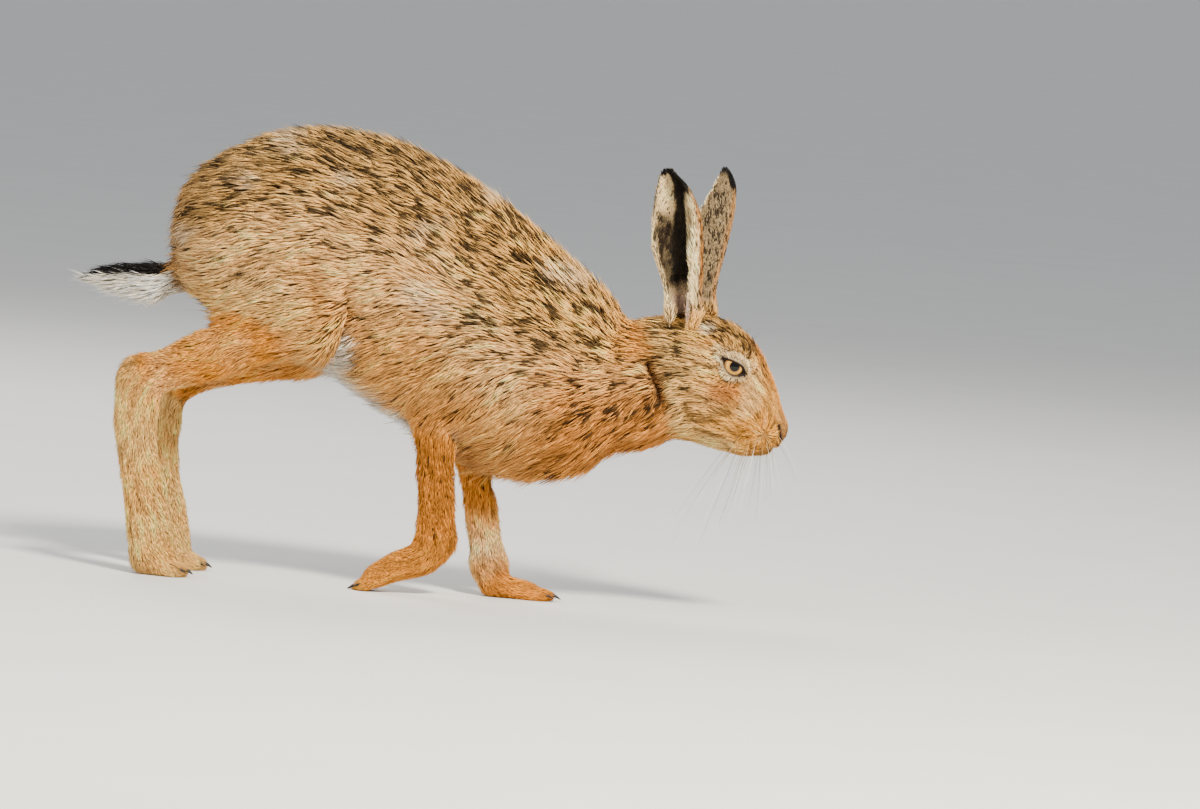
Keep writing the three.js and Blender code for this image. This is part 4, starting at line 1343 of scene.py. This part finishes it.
def look(name):
    """The painted colour, made lighter and darker by a fine grain.

    Fur has its grain in streaks along each tuft's patch, so that a tuft shows several hairs.
    """
    roughness, specular, coat, shares, scale, stretch, bump = LOOKS[name]
    material, tree, shader = new_material(name, roughness, specular, coat)
    if name == "fur":
        place = tree.nodes.new("ShaderNodeUVMap")
        place.uv_map = "OFBake"
        place = place.outputs["UV"]
    else:
        place = tree.nodes.new("ShaderNodeTexCoord").outputs["Object"]
    grain = grain_of(tree, place, scale, GRAIN_DETAIL, stretch)
    ramp_inputs = {"Value": grain, "From Min": GRAIN_RANGE[0], "From Max": GRAIN_RANGE[1]}
    ramp_inputs.update({"To Min": shares[0], "To Max": shares[1]})
    value = filled(tree, tree.nodes.new("ShaderNodeMapRange"), ramp_inputs)
    painted = tree.nodes.new("ShaderNodeAttribute")
    painted.attribute_name = "coat_colour"
    multiply = tree.nodes.new("ShaderNodeVectorMath")
    multiply.operation = "SCALE"
    colour_of_look = filled(tree, multiply, {0: painted.outputs["Color"], "Scale": value})
    filled(tree, shader, {"Base Color": colour_of_look})
    if bump:
        bump_inputs = {"Height": grain, "Distance": bump, "Strength": 1.0}
        bumps = filled(tree, tree.nodes.new("ShaderNodeBump"), bump_inputs)
        filled(tree, shader, {"Normal": bumps})
    return material


def floor_material():
    material, tree, shader = new_material("floor", 0.85, 0.15, 0)
    place = tree.nodes.new("ShaderNodeTexCoord").outputs["Object"]
    ramp = tree.nodes.new("ShaderNodeValToRGB")
    ramp.color_ramp.elements[0].color = (0.66, 0.66, 0.645, 1)
    ramp.color_ramp.elements[1].color = (0.72, 0.72, 0.71, 1)
    colour_of_floor = filled(tree, ramp, {"Fac": grain_of(tree, place, 6.0, 3.0, (1, 1, 1))})
    filled(tree, shader, {"Base Color": colour_of_floor})
    return material


# The whole hare.
skin = make_skin()
skin_points, _, skin_triangles = read_mesh(skin.data)
skin_normals = normals_of(skin_points, skin_triangles)
_, _, skin_shares = coat_at(skin_points)
skin_base, skin_black = markings(skin_points, skin_normals, skin_shares)
ground = mix(skin_base * 0.62, UNDERCOAT_AND_SHADE * 0.6, 0.3) * (1 - 0.45 * skin_black[:, None])
skin_gap = slit_distance(skin_points)
folded, _ = mirrored(skin_points)
lid_rim = (1 - step(skin_gap, 1.1, 2.4)) * (far_from(folded, EYE) < 13.5)
# The nostril slits are painted near black: partly the nose's own dark skin, partly painted shade
# inside them.
nose_dark = line_share(skin_points, NOSTRIL_ROUTE, 3.0, 0.35) * step(folded[:, 1], 2.6, 4.0)
paint(skin, layered(ground, (NOSTRIL * 1.3, lid_rim), (NOSTRIL, nose_dark)))
skin_uv = unwrapped(skin)
skin.data.materials.append(look("skin"))
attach(skin, "root")
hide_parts(*FLESH)

fur, ear_skin, eye_look, whisker_look, horn = map(look, ("fur", "ear_skin", "eye", "whisker", "horn"))
body_coat(skin_points, skin_triangles, skin_uv, fur)
for side_name, side_sign in (("left", 1), ("right", -1)):
    make_ear(side_name, ear_skin, fur)
    make_eye(side_name, side_sign, eye_look)
    whiskers(side_name, side_sign, whisker_look)
for foot in FEET:
    claws(foot, horn)


# Floor, light and camera.
def area_light(name, place, target, size, power, tint=(1, 1, 1)):
    light = bpy.data.lights.new(name, "AREA")
    light.size = size
    light.energy = power
    light.color = tint
    obj = linked(name, light)
    obj.location = place
    obj.rotation_euler = (Vector(target) - Vector(place)).to_track_quat("-Z", "Y").to_euler()


FLOOR_REACH = 400000.0  # half its side


def make_floor():
    corners = np.array([[-1, -1, 0], [1, -1, 0], [1, 1, 0], [-1, 1, 0]]) * FLOOR_REACH
    plane = mesh_object("floor", corners, np.array([[0, 1, 2, 3]]))
    plane.data.materials.append(floor_material())


# The photograph's ground falls to the right, so the camera is rolled by the same angle.
ROLL = math.radians(4.8)
PIXELS_PER_MM = 1.40
IMAGE_WIDTH, IMAGE_HEIGHT = 1200, 809
GROUND_PIXEL = (525, 602)  # the row point below shows here
GROUND_POINT_X = 78.0
ELEVATION = math.radians(3.5)
DISTANCE = 6.0
SENSOR = 36.0


def make_camera():
    u = (IMAGE_WIDTH / 2 - GROUND_PIXEL[0]) / PIXELS_PER_MM
    v = (GROUND_PIXEL[1] - IMAGE_HEIGHT / 2) / PIXELS_PER_MM
    x = u * math.cos(ROLL) - v * math.sin(ROLL) + GROUND_POINT_X
    z = u * math.sin(ROLL) + v * math.cos(ROLL)
    target = Vector((x, 0, z)) * MM
    forward = Vector((0, math.cos(ELEVATION), -math.sin(ELEVATION)))
    level = Vector((1, 0, 0))
    upright = Vector((0, math.sin(ELEVATION), math.cos(ELEVATION)))
    right = level * math.cos(ROLL) + upright * math.sin(ROLL)
    up = upright * math.cos(ROLL) - level * math.sin(ROLL)
    data = bpy.data.cameras.new("camera")
    data.sensor_width = SENSOR
    view_width = IMAGE_WIDTH / PIXELS_PER_MM * MM
    data.lens = SENSOR * DISTANCE / view_width
    data.clip_end = 1000
    camera = linked("camera", data)
    turn = Matrix((right, up, -forward)).transposed()
    camera.matrix_world = Matrix.Translation(target - forward * DISTANCE) @ turn.to_4x4()
    bpy.context.scene.camera = camera


def make_light():
    world = bpy.data.worlds.new("studio")
    world.use_nodes = True
    world.node_tree.nodes["Background"].inputs["Color"].default_value = (0.93, 0.96, 1.0, 1)
    world.node_tree.nodes["Background"].inputs["Strength"].default_value = 0.62
    bpy.context.scene.world = world
    middle = (0, 0, 0.17)
    area_light("key", (0.9, -2.0, 2.1), middle, 0.6, 215, (1.0, 0.92, 0.78))
    area_light("fill", (-2.2, -1.6, 1.2), middle, 1.8, 22, (0.93, 0.96, 1.0))
    area_light("back", (-0.6, 1.9, 2.0), middle, 1.4, 50, (1.0, 0.97, 0.92))


make_floor()
make_camera()
make_light()
